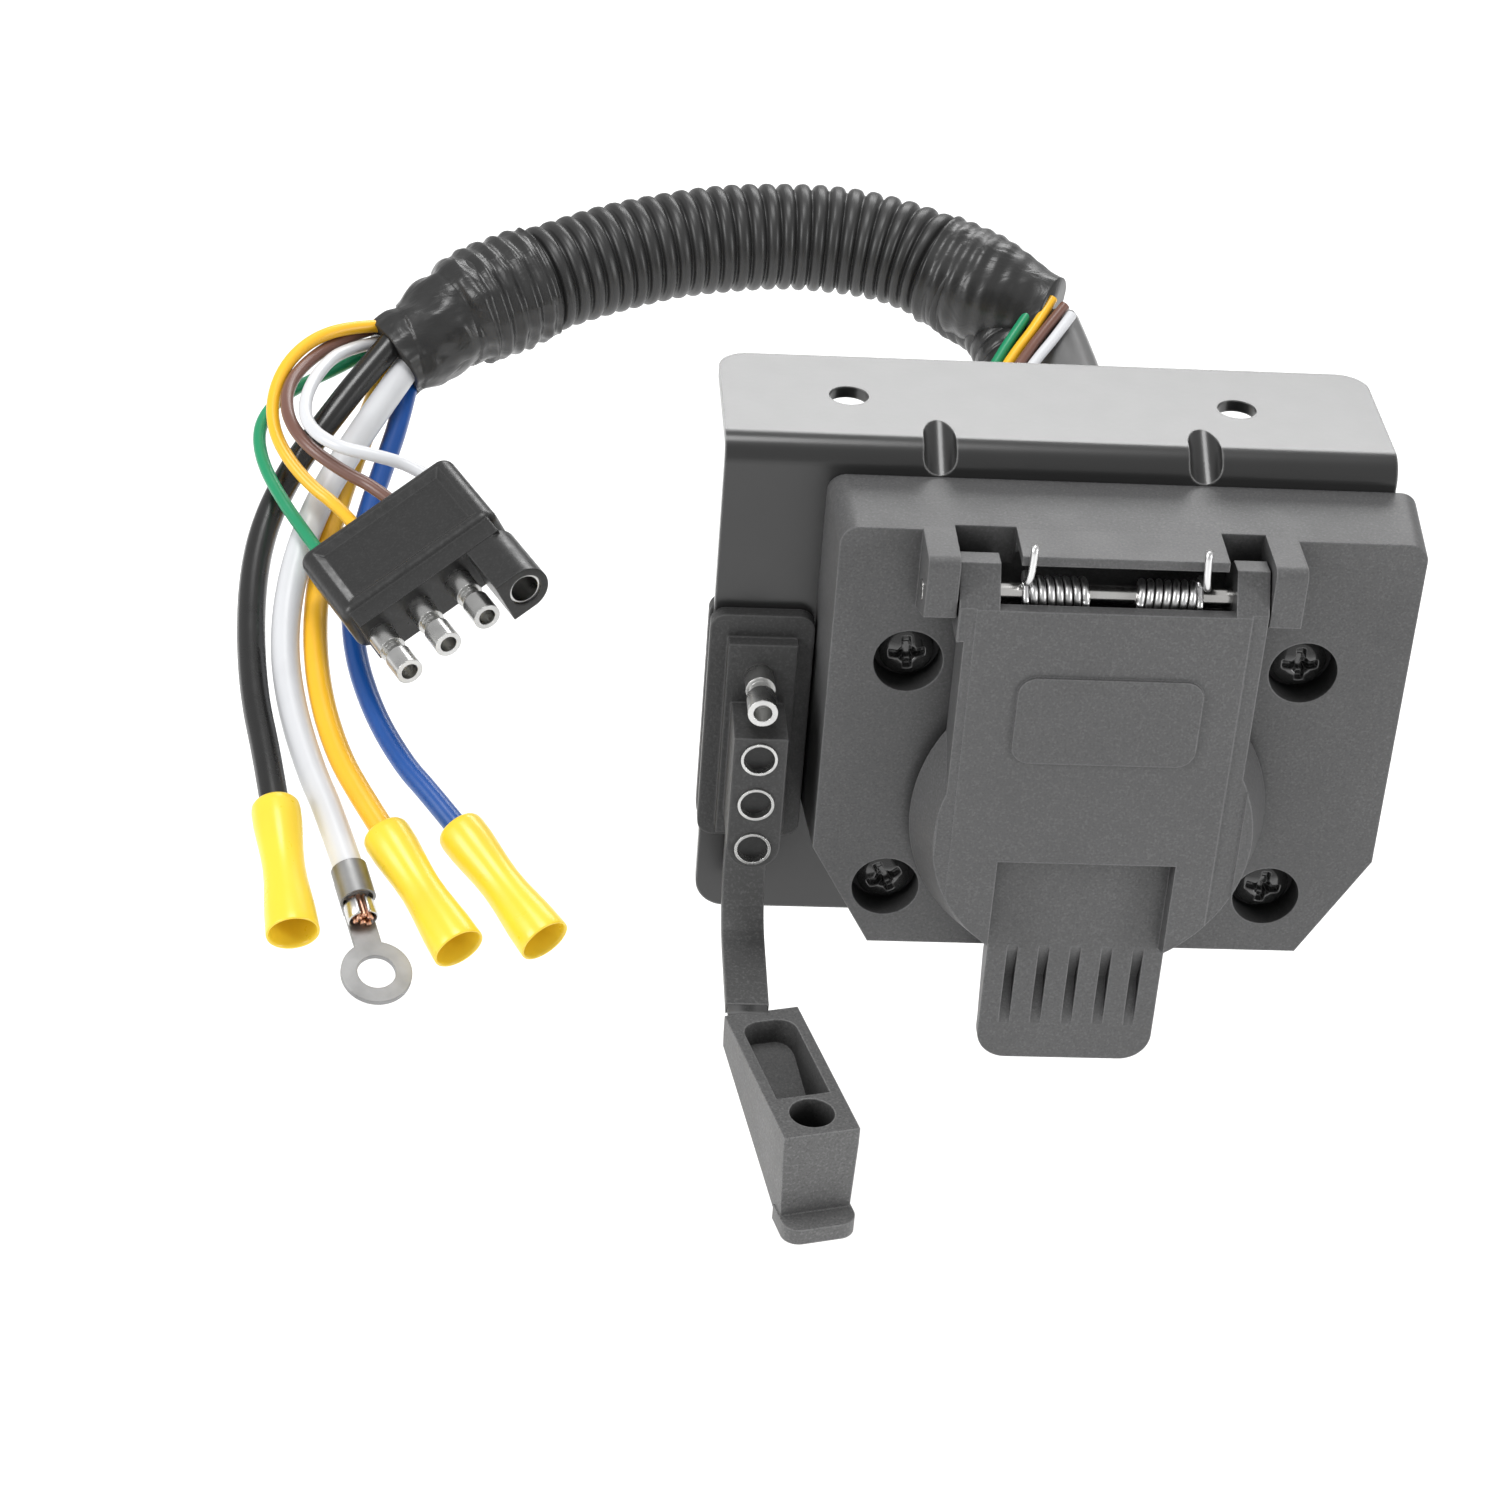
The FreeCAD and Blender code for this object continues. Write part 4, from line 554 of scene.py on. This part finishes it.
# The points that each cord is led along, as in the CAD.
ROUTES = {
    "loom": [(-93, 107, -39), (-84.5, 112, -37), (-74.5, 117, -35), (-62, 122.5, -33),
             (-46.5, 127, -31.5), (-29.5, 129, -31), (-13.5, 127, -31.5), (-1, 121, -33.5),
             (7.5, 112.5, -37), (12, 103.5, -40.5), (14, 94.5, -44)],
    "cable_jacket": [(18.5, 108.5, -38.8), (21.5, 98.2, -43), (22.7, 87.4, -46.4),
                     (21.6, 75, -49.8), (17.7, 62.6, -53), (12.3, 51.4, -55.5),
                     (9, 38.5, -56.2), (9, 25.5, -56.2)],
    "wire_black": [(-106.6, 97.6, -41.5), (-112.2, 90.6, -45.7), (-117.7, 83.6, -50.7),
                   (-124.2, 74.3, -56.4), (-129, 62, -62.7), (-130.2, 47.4, -69),
                   (-128.6, 27.8, -75.8), (-124.9, 11.9, -80.7), (-122.5, -1.1, -85.4)],
    "wire_white": [(-104.2, 95.7, -46.2), (-107.3, 89.5, -48.5), (-112.4, 79.1, -52.2),
                   (-118.4, 66.8, -57.6), (-122.7, 53.1, -64.5), (-123.9, 38.5, -71.6),
                   (-121.8, 25.1, -77.2), (-117.6, 11.8, -82.2), (-113.9, 3.4, -85.2),
                   (-108.8, -11.7, -91)],
    "wire_yellow": [(-107.4, 101, -48.4), (-109.6, 93.6, -51.8), (-112, 84.8, -55.6),
                    (-115.1, 72.7, -60.1), (-117.8, 58.6, -65.4), (-118.7, 43.5, -70.7),
                    (-117.2, 28.9, -75.8), (-113.6, 16.1, -80.1), (-109, 6.1, -82.9),
                    (-102.1, -5.3, -87)],
    "wire_blue": [(-103.9, 97, -50.7), (-105.1, 89.5, -54.1), (-107.3, 80.2, -57.6),
                  (-110.4, 67, -62.3), (-112.4, 52.4, -67.5), (-111.4, 37.2, -73),
                  (-107.2, 23.6, -77.6), (-101.5, 12.6, -81), (-97.1, 6.7, -82.5),
                  (-89.2, -4.1, -86.5)],
    "plug_lead_yellow": [(-109.2, 100.7, -39.9), (-115.2, 97.4, -38.7), (-121.8, 92.5, -39.3),
                         (-126.4, 85.2, -41.4), (-128.2, 76.7, -44.9), (-126.6, 69.1, -48.6),
                         (-120.9, 61.9, -52.7), (-114.6, 57, -55), (-110.4, 49.5, -56.1)],
    "plug_lead_brown": [(-110.5, 103, -41.6), (-116.2, 97.5, -41.2), (-122, 89.2, -41.8),
                        (-125.4, 80.1, -42.6), (-125, 71.2, -44.4), (-121.1, 64.6, -46.6),
                        (-114.3, 60.2, -49.3), (-108.4, 57.6, -50.9), (-103.9, 52.4, -52.1)],
    "plug_lead_green": [(-109.2, 103.1, -45), (-115.8, 96.9, -46.5), (-122.4, 91.3, -47.4),
                        (-127.8, 85.2, -48.4), (-130.6, 78.1, -50.4), (-129.5, 70.3, -53),
                        (-125.8, 62.4, -55.9), (-121.2, 55.2, -58.8), (-116.9, 46.8, -60)],
    "plug_lead_white": [(-109, 101.2, -43.4), (-115.4, 95.1, -42), (-119.6, 85, -41.3),
                        (-122, 74.9, -42.4), (-121.2, 66.3, -43.4), (-115.8, 60.5, -44.4),
                        (-108.2, 59, -45.2), (-101.6, 58.4, -46.8), (-97.5, 55.2, -48.2)],
    "feed_lead_white": [(21.2, 103.3, -33.4), (17.8, 98.8, -36.1), (13.7, 94.4, -39.1),
                        (8.2, 86, -42.9), (1.5, 75.5, -45.8), (-7.5, 63, -46.4),
                        (-17.5, 50.5, -45.4), (-28.5, 37.5, -43.6), (-37.3, 24.5, -41.8),
                        (-42.1, 11, -40.4), (-44.4, -1, -40)],
    "feed_lead_brown": [(20, 105.1, -32.4), (16.1, 101.1, -35.6), (11.9, 95.7, -38.8),
                        (5.9, 86.2, -43.2), (-1, 75, -47.2), (-9.5, 63, -49.3),
                        (-19, 50.5, -50.2), (-29.5, 37.5, -50.1), (-37.7, 24.5, -49.5),
                        (-42.3, 11, -49), (-44.4, -1, -48.6)],
    "feed_lead_yellow": [(17.8, 107.1, -32), (14.6, 102.4, -35.5), (10, 97.2, -39.1),
                         (3.8, 87.3, -44.6), (-3, 75.2, -48.9), (-11.5, 63.2, -52.4),
                         (-20.5, 50.5, -54.7), (-30.3, 37.5, -56), (-38.2, 24.5, -56.9),
                         (-42.5, 11, -57.2), (-44.4, -1, -57.1)],
    "feed_lead_green": [(16.2, 109.5, -31.8), (12.3, 104.3, -35.6), (8, 98.8, -39.6),
                        (2, 88.5, -45.4), (-5, 76.6, -50.8), (-13.5, 64, -55.6),
                        (-22, 50.8, -59.2), (-31.2, 37.6, -61.9), (-38.7, 24.6, -64),
                        (-42.6, 11, -65.3), (-44.4, -1, -65.7)],
}

# Each cord's outside diameter, as in the CAD.
THICK = {
    "loom": 20.5, "cable_jacket": 11, "wire_black": 5.1, "wire_white": 5.2, "wire_yellow": 4.4,
    "wire_blue": 4, "plug_lead": 2.4, "feed_lead": 2,
}


def route_curve(name, diameter=0.0):
    """One cord's route as a smooth curve, with its skin when it has a diameter."""
    curve = smooth_curve("cord_" + name, [Vector(point) * MM for point in ROUTES[name]], 12)
    curve.data.bevel_depth = diameter * MM / 2
    curve.data.bevel_resolution = 5
    curve.data.use_fill_caps = True
    return curve


def route_line(name):
    """The centreline of a cord."""
    return followed(route_curve(name))


def add_cord(name, diameter, slot):
    """A free wire along its route, fixed to the bracket in place of its CAD node."""
    length = route_line(name).length
    curve = route_curve(name, diameter)
    curve.data.materials.append(PAINTS[slot])
    on_bracket(curve, slot, name)


RIDGE_PITCH = 3.2 * MM
RIDGE_DEPTH = 1.75 * MM
RIDGE_STEPS = 12             # rings of points to one ridge
LOOM_RADIUS = 10.25 * MM
CUFF_START = 99 * MM         # where tape starts to cover the loom's right end
MOUTH_START = 104 * MM       # where the loom is cut open for its wires
MOUTH_SHIFT = Vector((-0.8, 5.6, -3.2)) * MM
CUFF_END = Vector((18.2, 109.8, -36.2)) * MM
CUFF_RADIUS = 10.65 * MM
TAPE_COVER = 15 * MM         # how far the left tape reaches over the loom
TAPE_END = Vector((-106.3, 98.6, -45.8)) * MM
TAPE_RADIUS = 10.85 * MM
TAPE_STEP = 1.5 * MM         # how much the tape narrows past the loom, and again to its end
TAPE_PLY = 0.34 * MM
TAPE_WINDING = 520           # radians to a metre


def ridge(arc):
    """Height of the conduit's broad ridges, from 0 in a narrow groove to 1 on a ridge."""
    share = (arc / RIDGE_PITCH) % 1
    return (1 - abs(2 * share - 1) ** 2.6) ** 0.6


def add_loom():
    """Corrugated conduit, taped and cut open at its right end."""
    line = route_line("loom")

    def radius(arc, angle):
        taped = ease(arc, CUFF_START, CUFF_START + 2 * MM)
        depth = RIDGE_DEPTH * (1 - 0.45 * taped)
        uneven = 0.06 * MM * math.sin(2 * angle + 0.9 * round(arc / RIDGE_PITCH))
        closing = 1 - 0.3 * ease(arc, MOUTH_START, MOUTH_START + 13 * MM)
        return (LOOM_RADIUS - depth * (1 - ridge(arc)) + uneven + 0.1 * MM * taped) * closing

    def shift(arc):
        open_end = ease(arc, MOUTH_START - 2 * MM, MOUTH_START + 11 * MM)
        return MOUTH_SHIFT * open_end

    stations = even(0, line.length, int(line.length / RIDGE_PITCH * RIDGE_STEPS))
    loom = sweep("loom_conduit", line, stations, radius,
                 [PAINTS["loom_plastic"], PAINTS["tape_vinyl"]], 72, shift,
                 lambda arc: 1 if arc > CUFF_START + 9 * MM else 0)
    return on_bracket(loom, "loom_plastic", "loom"), line


def add_cuff(loom):
    """Tape round the loom's right end, gathered towards the mouth that the leads leave."""
    start = loom.at(CUFF_START - 2 * MM)[0]
    middle = loom.at(CUFF_START + 6 * MM)[0] + Vector((1.5, 0.5, 0.8)) * MM
    route = [start.lerp(middle, share) if share < 1 else middle.lerp(CUFF_END, share - 1)
             for share in even(0, 2, 24)]
    line = Line(route)

    def radius(arc, angle):
        share = arc / line.length
        size = CUFF_RADIUS - 3.4 * MM * ease(share, 0.35, 1)
        soft = 0.28 * MM * (1 - share) * math.cos(math.tau * arc / RIDGE_PITCH)
        crease = 0.32 * MM * abs(math.sin(2.5 * angle + 260 * arc)) * share
        return size + soft - crease

    cuff = sweep("end_tape", line, even(0, line.length, 60), radius, PAINTS["tape_vinyl"], 72)
    return on_bracket(cuff, "tape_vinyl")


def add_tape(loom):
    """Tape over the loom's left end, wound down to the bundle of wires."""
    cover = [loom.at(arc)[0] for arc in even(TAPE_COVER, 0, 12)]
    rest = [cover[-1].lerp(TAPE_END, share) for share in even(0, 1, 20)][1:]
    line = Line(cover + rest)
    edge = line.length - TAPE_COVER

    def radius(arc, angle):
        past = arc - TAPE_COVER
        over = 0.35 * MM * math.cos(math.tau * (TAPE_COVER - arc) / RIDGE_PITCH + 0.4)
        over *= 1 - ease(past, -1 * MM, 1 * MM)
        size = TAPE_RADIUS + over
        size -= TAPE_STEP * ease(past, 0, 2.2 * MM)
        size -= TAPE_STEP * ease(past, 4 * MM, edge)
        winding = angle + past * TAPE_WINDING
        ply = TAPE_PLY * ease((winding / math.tau) % 1, 0.0, 0.22)
        crease = 0.6 * MM * abs(math.sin(1.5 * angle - 300 * past + 0.8)) ** 3
        size += (ply - crease) * ease(past, -3 * MM, 2 * MM)
        lump = noise.noise(Vector((3 * math.cos(angle), 3 * math.sin(angle), 260 * arc)))
        slant = 0.36 * MM * math.sin(angle - 0.6) * ease(past, edge - 5 * MM, edge)
        return size + 0.5 * MM * lump + slant

    wrap = sweep("wound_tape", line, even(0, line.length, 150), radius, PAINTS["tape_vinyl"], 96)
    return on_bracket(wrap, "tape_vinyl", "tape_wrap")


def add_harness(strands):
    """The loom, its taped ends and the cords; the pieces that lie at the cords' ends are listed but not used."""
    loom, line = add_loom()
    add_cuff(line)
    add_tape(line)
    add_cord("cable_jacket", THICK["cable_jacket"], "jacket_vinyl")
    ends = {"black": ("connector", ["butt_sleeve_black", "butt_barrels"]),
            "white": ("fitting", ["ring_terminal", *strands]),
            "yellow": ("connector", ["butt_sleeve_yellow"]),
            "blue": ("connector", ["butt_sleeve_blue"])}
    for colour, (far_end, pieces) in ends.items():
        name = "wire_" + colour
        add_cord(name, THICK[name], "insulation_" + colour)
    for colour in ("yellow", "brown", "green", "white"):
        slot = "insulation_" + colour
        pieces = ["trailer_plug", "plug_pins", "plug_socket"] if colour == "white" else []
        add_cord("plug_lead_" + colour, THICK["plug_lead"], slot)
        add_cord("feed_lead_" + colour, THICK["feed_lead"], slot)


# ---------------------------------------------------------------- small metal pieces

JOINTS = {joint["name"]: Vector(joint["pos_m"]) for joint in frame["joints"]}
HINGE_LINE = Vector((0, *JOINTS["lid_hinge"].yz))


SPRING_TURNS = 7
SPRING_INSET = 0.6 * MM      # from the end of its box to the first turn
LEG_DROPS = (0.4, -3, -7.5)
HOOK = [(0, 1.2, 3.2), (-0.3, -1.0, 3.4), (-0.5, -3.6, 3.7), (-0.2, -4.4, 4.6),
        (0.1, -4.5, 6.4), (0.2, -4.1, 10.6)]


def add_spring(name, node, start, way):
    """Torsion spring: seven turns round the pin, a hooked leg over the shelf's edge, and
    a straight leg that pushes on the lid and turns with it."""
    pitch, coil, wire = 1.34 * MM, 2.35 * MM, 0.6 * MM
    points = []
    per_turn = 16
    for step in range(SPRING_TURNS * per_turn + 1):
        angle = math.tau * step / per_turn
        points.append(HINGE_LINE + Vector((start + way * pitch * step / per_turn,
                                           -coil * math.cos(angle), -coil * math.sin(angle))))
    tail = HINGE_LINE + Vector((start + way * pitch * SPRING_TURNS, 0, 0))
    leg = tube_through(name + "_leg", [tail + Vector((0, -coil, drop * MM)) for drop in LEG_DROPS],
                       wire, PAINTS["spring_steel"])
    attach(leg, "lid")
    head = [HINGE_LINE + Vector((start, 0, 0)) + Vector((way * x, y, z)) * MM
            for x, y, z in reversed(HOOK)]
    spring = tube_through(name, head + points, wire, PAINTS["spring_steel"])
    on_bracket(spring, "spring_steel", node)


def add_springs():
    """The lid's two springs, wound from the outer ends of their boxes."""
    left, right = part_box("lid_spring_left"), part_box("lid_spring_right")
    add_spring("hooked_spring_left", "lid_spring_left", left[0][0] + SPRING_INSET, 1)
    add_spring("hooked_spring_right", "lid_spring_right", right[1][0] - SPRING_INSET, -1)


SCREW_RIM = 4.4
SCREW_SHANK = 2.05
CROSS_LONG, CROSS_WIDE = 5.6, 1.15
# How far each screw is turned in radians, by its column and row.
SCREW_TURNS = {(0, 0): 0.5, (0, 1): 0.1, (1, 0): -0.12, (1, 1): 0.04}


def cross_recess(across, up):
    """1 inside a Phillips cross, 0 outside, with short sloping walls."""
    arms = [(abs(across), abs(up)), (abs(up), abs(across))]
    return max((1 - ease(one, CROSS_LONG / 2 - 0.25, CROSS_LONG / 2 + 0.15))
               * (1 - ease(two, CROSS_WIDE / 2 - 0.15, CROSS_WIDE / 2 + 0.2))
               for one, two in arms)


def add_screws():
    """Four domed black screws with cross recesses, each turned its own way."""
    low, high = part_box("housing_screws")
    xs = (low[0] + SCREW_RIM * MM, high[0] - SCREW_RIM * MM)
    zs = (low[2] + SCREW_RIM * MM, high[2] - SCREW_RIM * MM)
    length = (high[1] - low[1]) / MM
    profile = [(SCREW_RIM, 3.3), (SCREW_SHANK, 3.35), (SCREW_SHANK, length - 0.6),
               (1.5, length), (0.01, length)]
    rings, sides = 46, 120
    vertices = []
    faces = []
    for (column, row), turn in SCREW_TURNS.items():
        middle = Vector((xs[column], low[1], zs[row]))
        first = len(vertices)
        for ring in range(rings + 1):
            away = SCREW_RIM * ring / rings
            for step in range(sides):
                angle = math.tau * step / sides
                across, up = away * math.cos(angle), away * math.sin(angle)
                dome = 1.5 * (away / SCREW_RIM) ** 2.4
                turned = (across * math.cos(turn) + up * math.sin(turn),
                          up * math.cos(turn) - across * math.sin(turn))
                dip = 1.5 * cross_recess(*turned)
                dip += 0.9 * (1 - ease(away, 0.9, 1.7))
                vertices.append(middle + Vector((across, min(dome + dip, 3.2), up)) * MM)
        for reach, back in profile:
            for step in range(sides):
                angle = math.tau * step / sides
                vertices.append(middle + Vector((reach * math.cos(angle), back,
                                                 reach * math.sin(angle))) * MM)
        faces += [tuple(first + corner for corner in face)
                  for face in flipped(quads(rings + 1 + len(profile), sides))]
    screws = smooth_object("cross_screws", vertices, faces, PAINTS["black_screws"])
    on_bracket(screws, "black_screws", "housing_screws")


# Where the ring terminal's barrel starts, and which way it faces, as in the CAD.
RING_START = Vector((-110.3, -7.2, -89.3))
RING_TURN, RING_DIP = math.radians(17.9), math.radians(21.5)
STRANDS = 8                  # seven round the rim and one in the middle
STRAND_REACH = 1.35
STRAND_RADIUS = 0.45
BARE_START, BARE_LENGTH = 6, 4.6
COLLAR_GAP = 32              # degrees left open in the collar, at its top


def pointing(turn, dip):
    """The way a part faces when it is turned to the right and dipped."""
    return Vector((math.sin(turn) * math.cos(dip), -math.cos(turn) * math.cos(dip),
                   -math.sin(dip)))


def add_crimps():
    """The strands laid bare past the ring terminal's barrel, and the collar round them."""
    way = pointing(RING_TURN, RING_DIP)
    side = way.cross(UP).normalized()
    up = side.cross(way)
    middle = RING_START - up * 0.7
    pieces = []
    for turn in range(STRANDS):
        last = turn == STRANDS - 1
        angle = math.tau * turn / STRANDS
        reach = 0.2 if last else STRAND_REACH
        offset = (side * math.cos(angle) + up * math.sin(angle)) * reach
        begin = middle + offset + way * BARE_START
        end = begin + way * (BARE_LENGTH + 0.4 * math.sin(3 * turn)) + up * 0.2
        mid = begin.lerp(end, 0.5) + side * 0.3 * math.sin(5 * turn)
        strand = tube_through(f"strand_{turn}", [point * MM for point in (begin, mid, end)],
                              STRAND_RADIUS * MM, PAINTS["copper"], 8)
        on_bracket(strand, "copper", *(["copper_strands"] if last else []))
        pieces.append(strand)
    vertices = []
    faces = []
    sides = 40
    rings = [(6.9, 2.35), (6.9, 2.55), (7.2, 2.65), (9.9, 2.65), (10.2, 2.5), (10.2, 2.3)]
    for far, radius in rings:
        for step in range(sides + 1):
            angle = math.radians(90 + COLLAR_GAP / 2 + (360 - COLLAR_GAP) * step / sides)
            vertices.append((middle + way * far + side * radius * math.cos(angle)
                             + up * radius * math.sin(angle)) * MM)
    for ring in range(len(rings)):
        after = (ring + 1) % len(rings)
        for step in range(sides):
            faces.append((ring * (sides + 1) + step, ring * (sides + 1) + step + 1,
                          after * (sides + 1) + step + 1, after * (sides + 1) + step))
    for end in (0, sides):
        rim = [ring * (sides + 1) + end for ring in range(len(rings))]
        faces.append(tuple(rim if end == 0 else reversed(rim)))
    collar = smooth_object("crimp_collar", vertices, faces, PAINTS["tinned_metal"])
    return pieces + [on_bracket(collar, "tinned_metal")]


def lathe(name, start, along, profile, paint, sides=64):
    """A turned piece; the profile gives closed (distance, radius) pairs in millimetres."""
    side = along.cross(UP).normalized()
    up = side.cross(along)
    vertices = []
    for far, radius in profile:
        for step in range(sides):
            angle = math.tau * step / sides
            vertices.append(start + (along * far + side * radius * math.cos(angle)
                                     + up * radius * math.sin(angle)) * MM)
    return smooth_object(name, vertices, quads(len(profile), sides, closed=True), paint)


# Where each butt connector starts, then its turn and dip in degrees, as in the CAD.
BUTT_PLACES = {
    "black": (-123.3, 3.5, -83.7, 9.9, 20),
    "yellow": (-104.6, -1.3, -85.5, 31.4, 18.5),
    "blue": (-92, -0.2, -85.1, 36.2, 18.5),
}
# A sleeve's outline, out along its outside and back along its inside: distance, radius.
BUTT_SHAPE = [(0, 2.62), (0, 3.4), (0.15, 3.8), (0.6, 4.1), (1.6, 4.25), (4.5, 4.2), (7.5, 3.95),
              (10.5, 3.7), (13.5, 3.6), (16.5, 3.75), (19.5, 4.05), (22.5, 4.35), (25.4, 4.5),
              (26.7, 4.55), (26.95, 4.5), (27, 4.35), (26.9, 4.15), (26.4, 4.0), (24.5, 3.8),
              (21.5, 3.55), (19.4, 3.4), (18.9, 3.2), (18.8, 2.62)]


def add_butt_connectors():
    """Yellow sleeves, pinched at the waist and flared at the open end."""
    for colour, (x, y, z, turn, dip) in BUTT_PLACES.items():
        along = pointing(math.radians(turn), math.radians(dip))
        node = "butt_connector_" + colour
        sleeve = lathe("butt_sleeve_" + colour, Vector((x, y, z)) * MM, along, BUTT_SHAPE,
                       PAINTS["sleeve_yellow"])
        on_bracket(sleeve, "sleeve_yellow", node)


def add_socket_shade_discs():
    """Dark discs a little way inside the four-way connector's three tubes: painted shade where the tubes go deep.
    """
    low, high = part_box("four_flat_sockets")
    tube = high[0] - low[0]
    pitch = (high[2] - low[2] - tube) / 2
    vertices = []
    faces = []
    sides = 32
    for index in range(3):
        middle = Vector(((low[0] + high[0]) / 2, low[1] + 1.6 * MM,
                         low[2] + tube / 2 + index * pitch))
        first = len(vertices)
        for step in range(sides):
            angle = math.tau * step / sides
            vertices.append(middle + Vector((math.cos(angle), 0, math.sin(angle))) * tube * 0.44)
        faces.append(tuple(range(first, first + sides)))
    shade_discs = smooth_object("socket_shade_discs", vertices, faces, PAINTS["contact_plastic"])
    on_bracket(shade_discs, "contact_plastic")


def add_strap_web():
    """The thin rubber web that joins the strap's end to the back of the dust cap."""
    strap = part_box("cap_strap")
    pivot = JOINTS["cap_swing"]
    left, right = strap[0][0] + 0.3 * MM, strap[1][0] - 0.3 * MM
    back, front = pivot.y + 2.4 * MM, pivot.y - 1.3 * MM
    rows = 10
    vertices = []
    for step in range(rows + 1):
        y = back + (front - back) * step / rows
        for x, z in ((left, -1), (right, -1), (right, 1), (left, 1)):
            vertices.append(Vector((x, y, pivot.z + 0.1 * MM + z * 0.75 * MM)))
    faces = flipped(quads(rows + 1, 4))
    faces += [(0, 1, 2, 3), tuple(4 * rows + side for side in (3, 2, 1, 0))]
    web = smooth_object("strap_web", vertices, faces, PAINTS["boot_rubber"])
    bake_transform(web)


# ---------------------------------------------------------------- scene

add_camera()
add_floor()
add_lights()
PAINTS = make_materials()
paint_nodes(PAINTS)
add_butt_connectors()
add_harness(add_crimps())
add_springs()
add_screws()
add_socket_shade_discs()
add_strap_web()
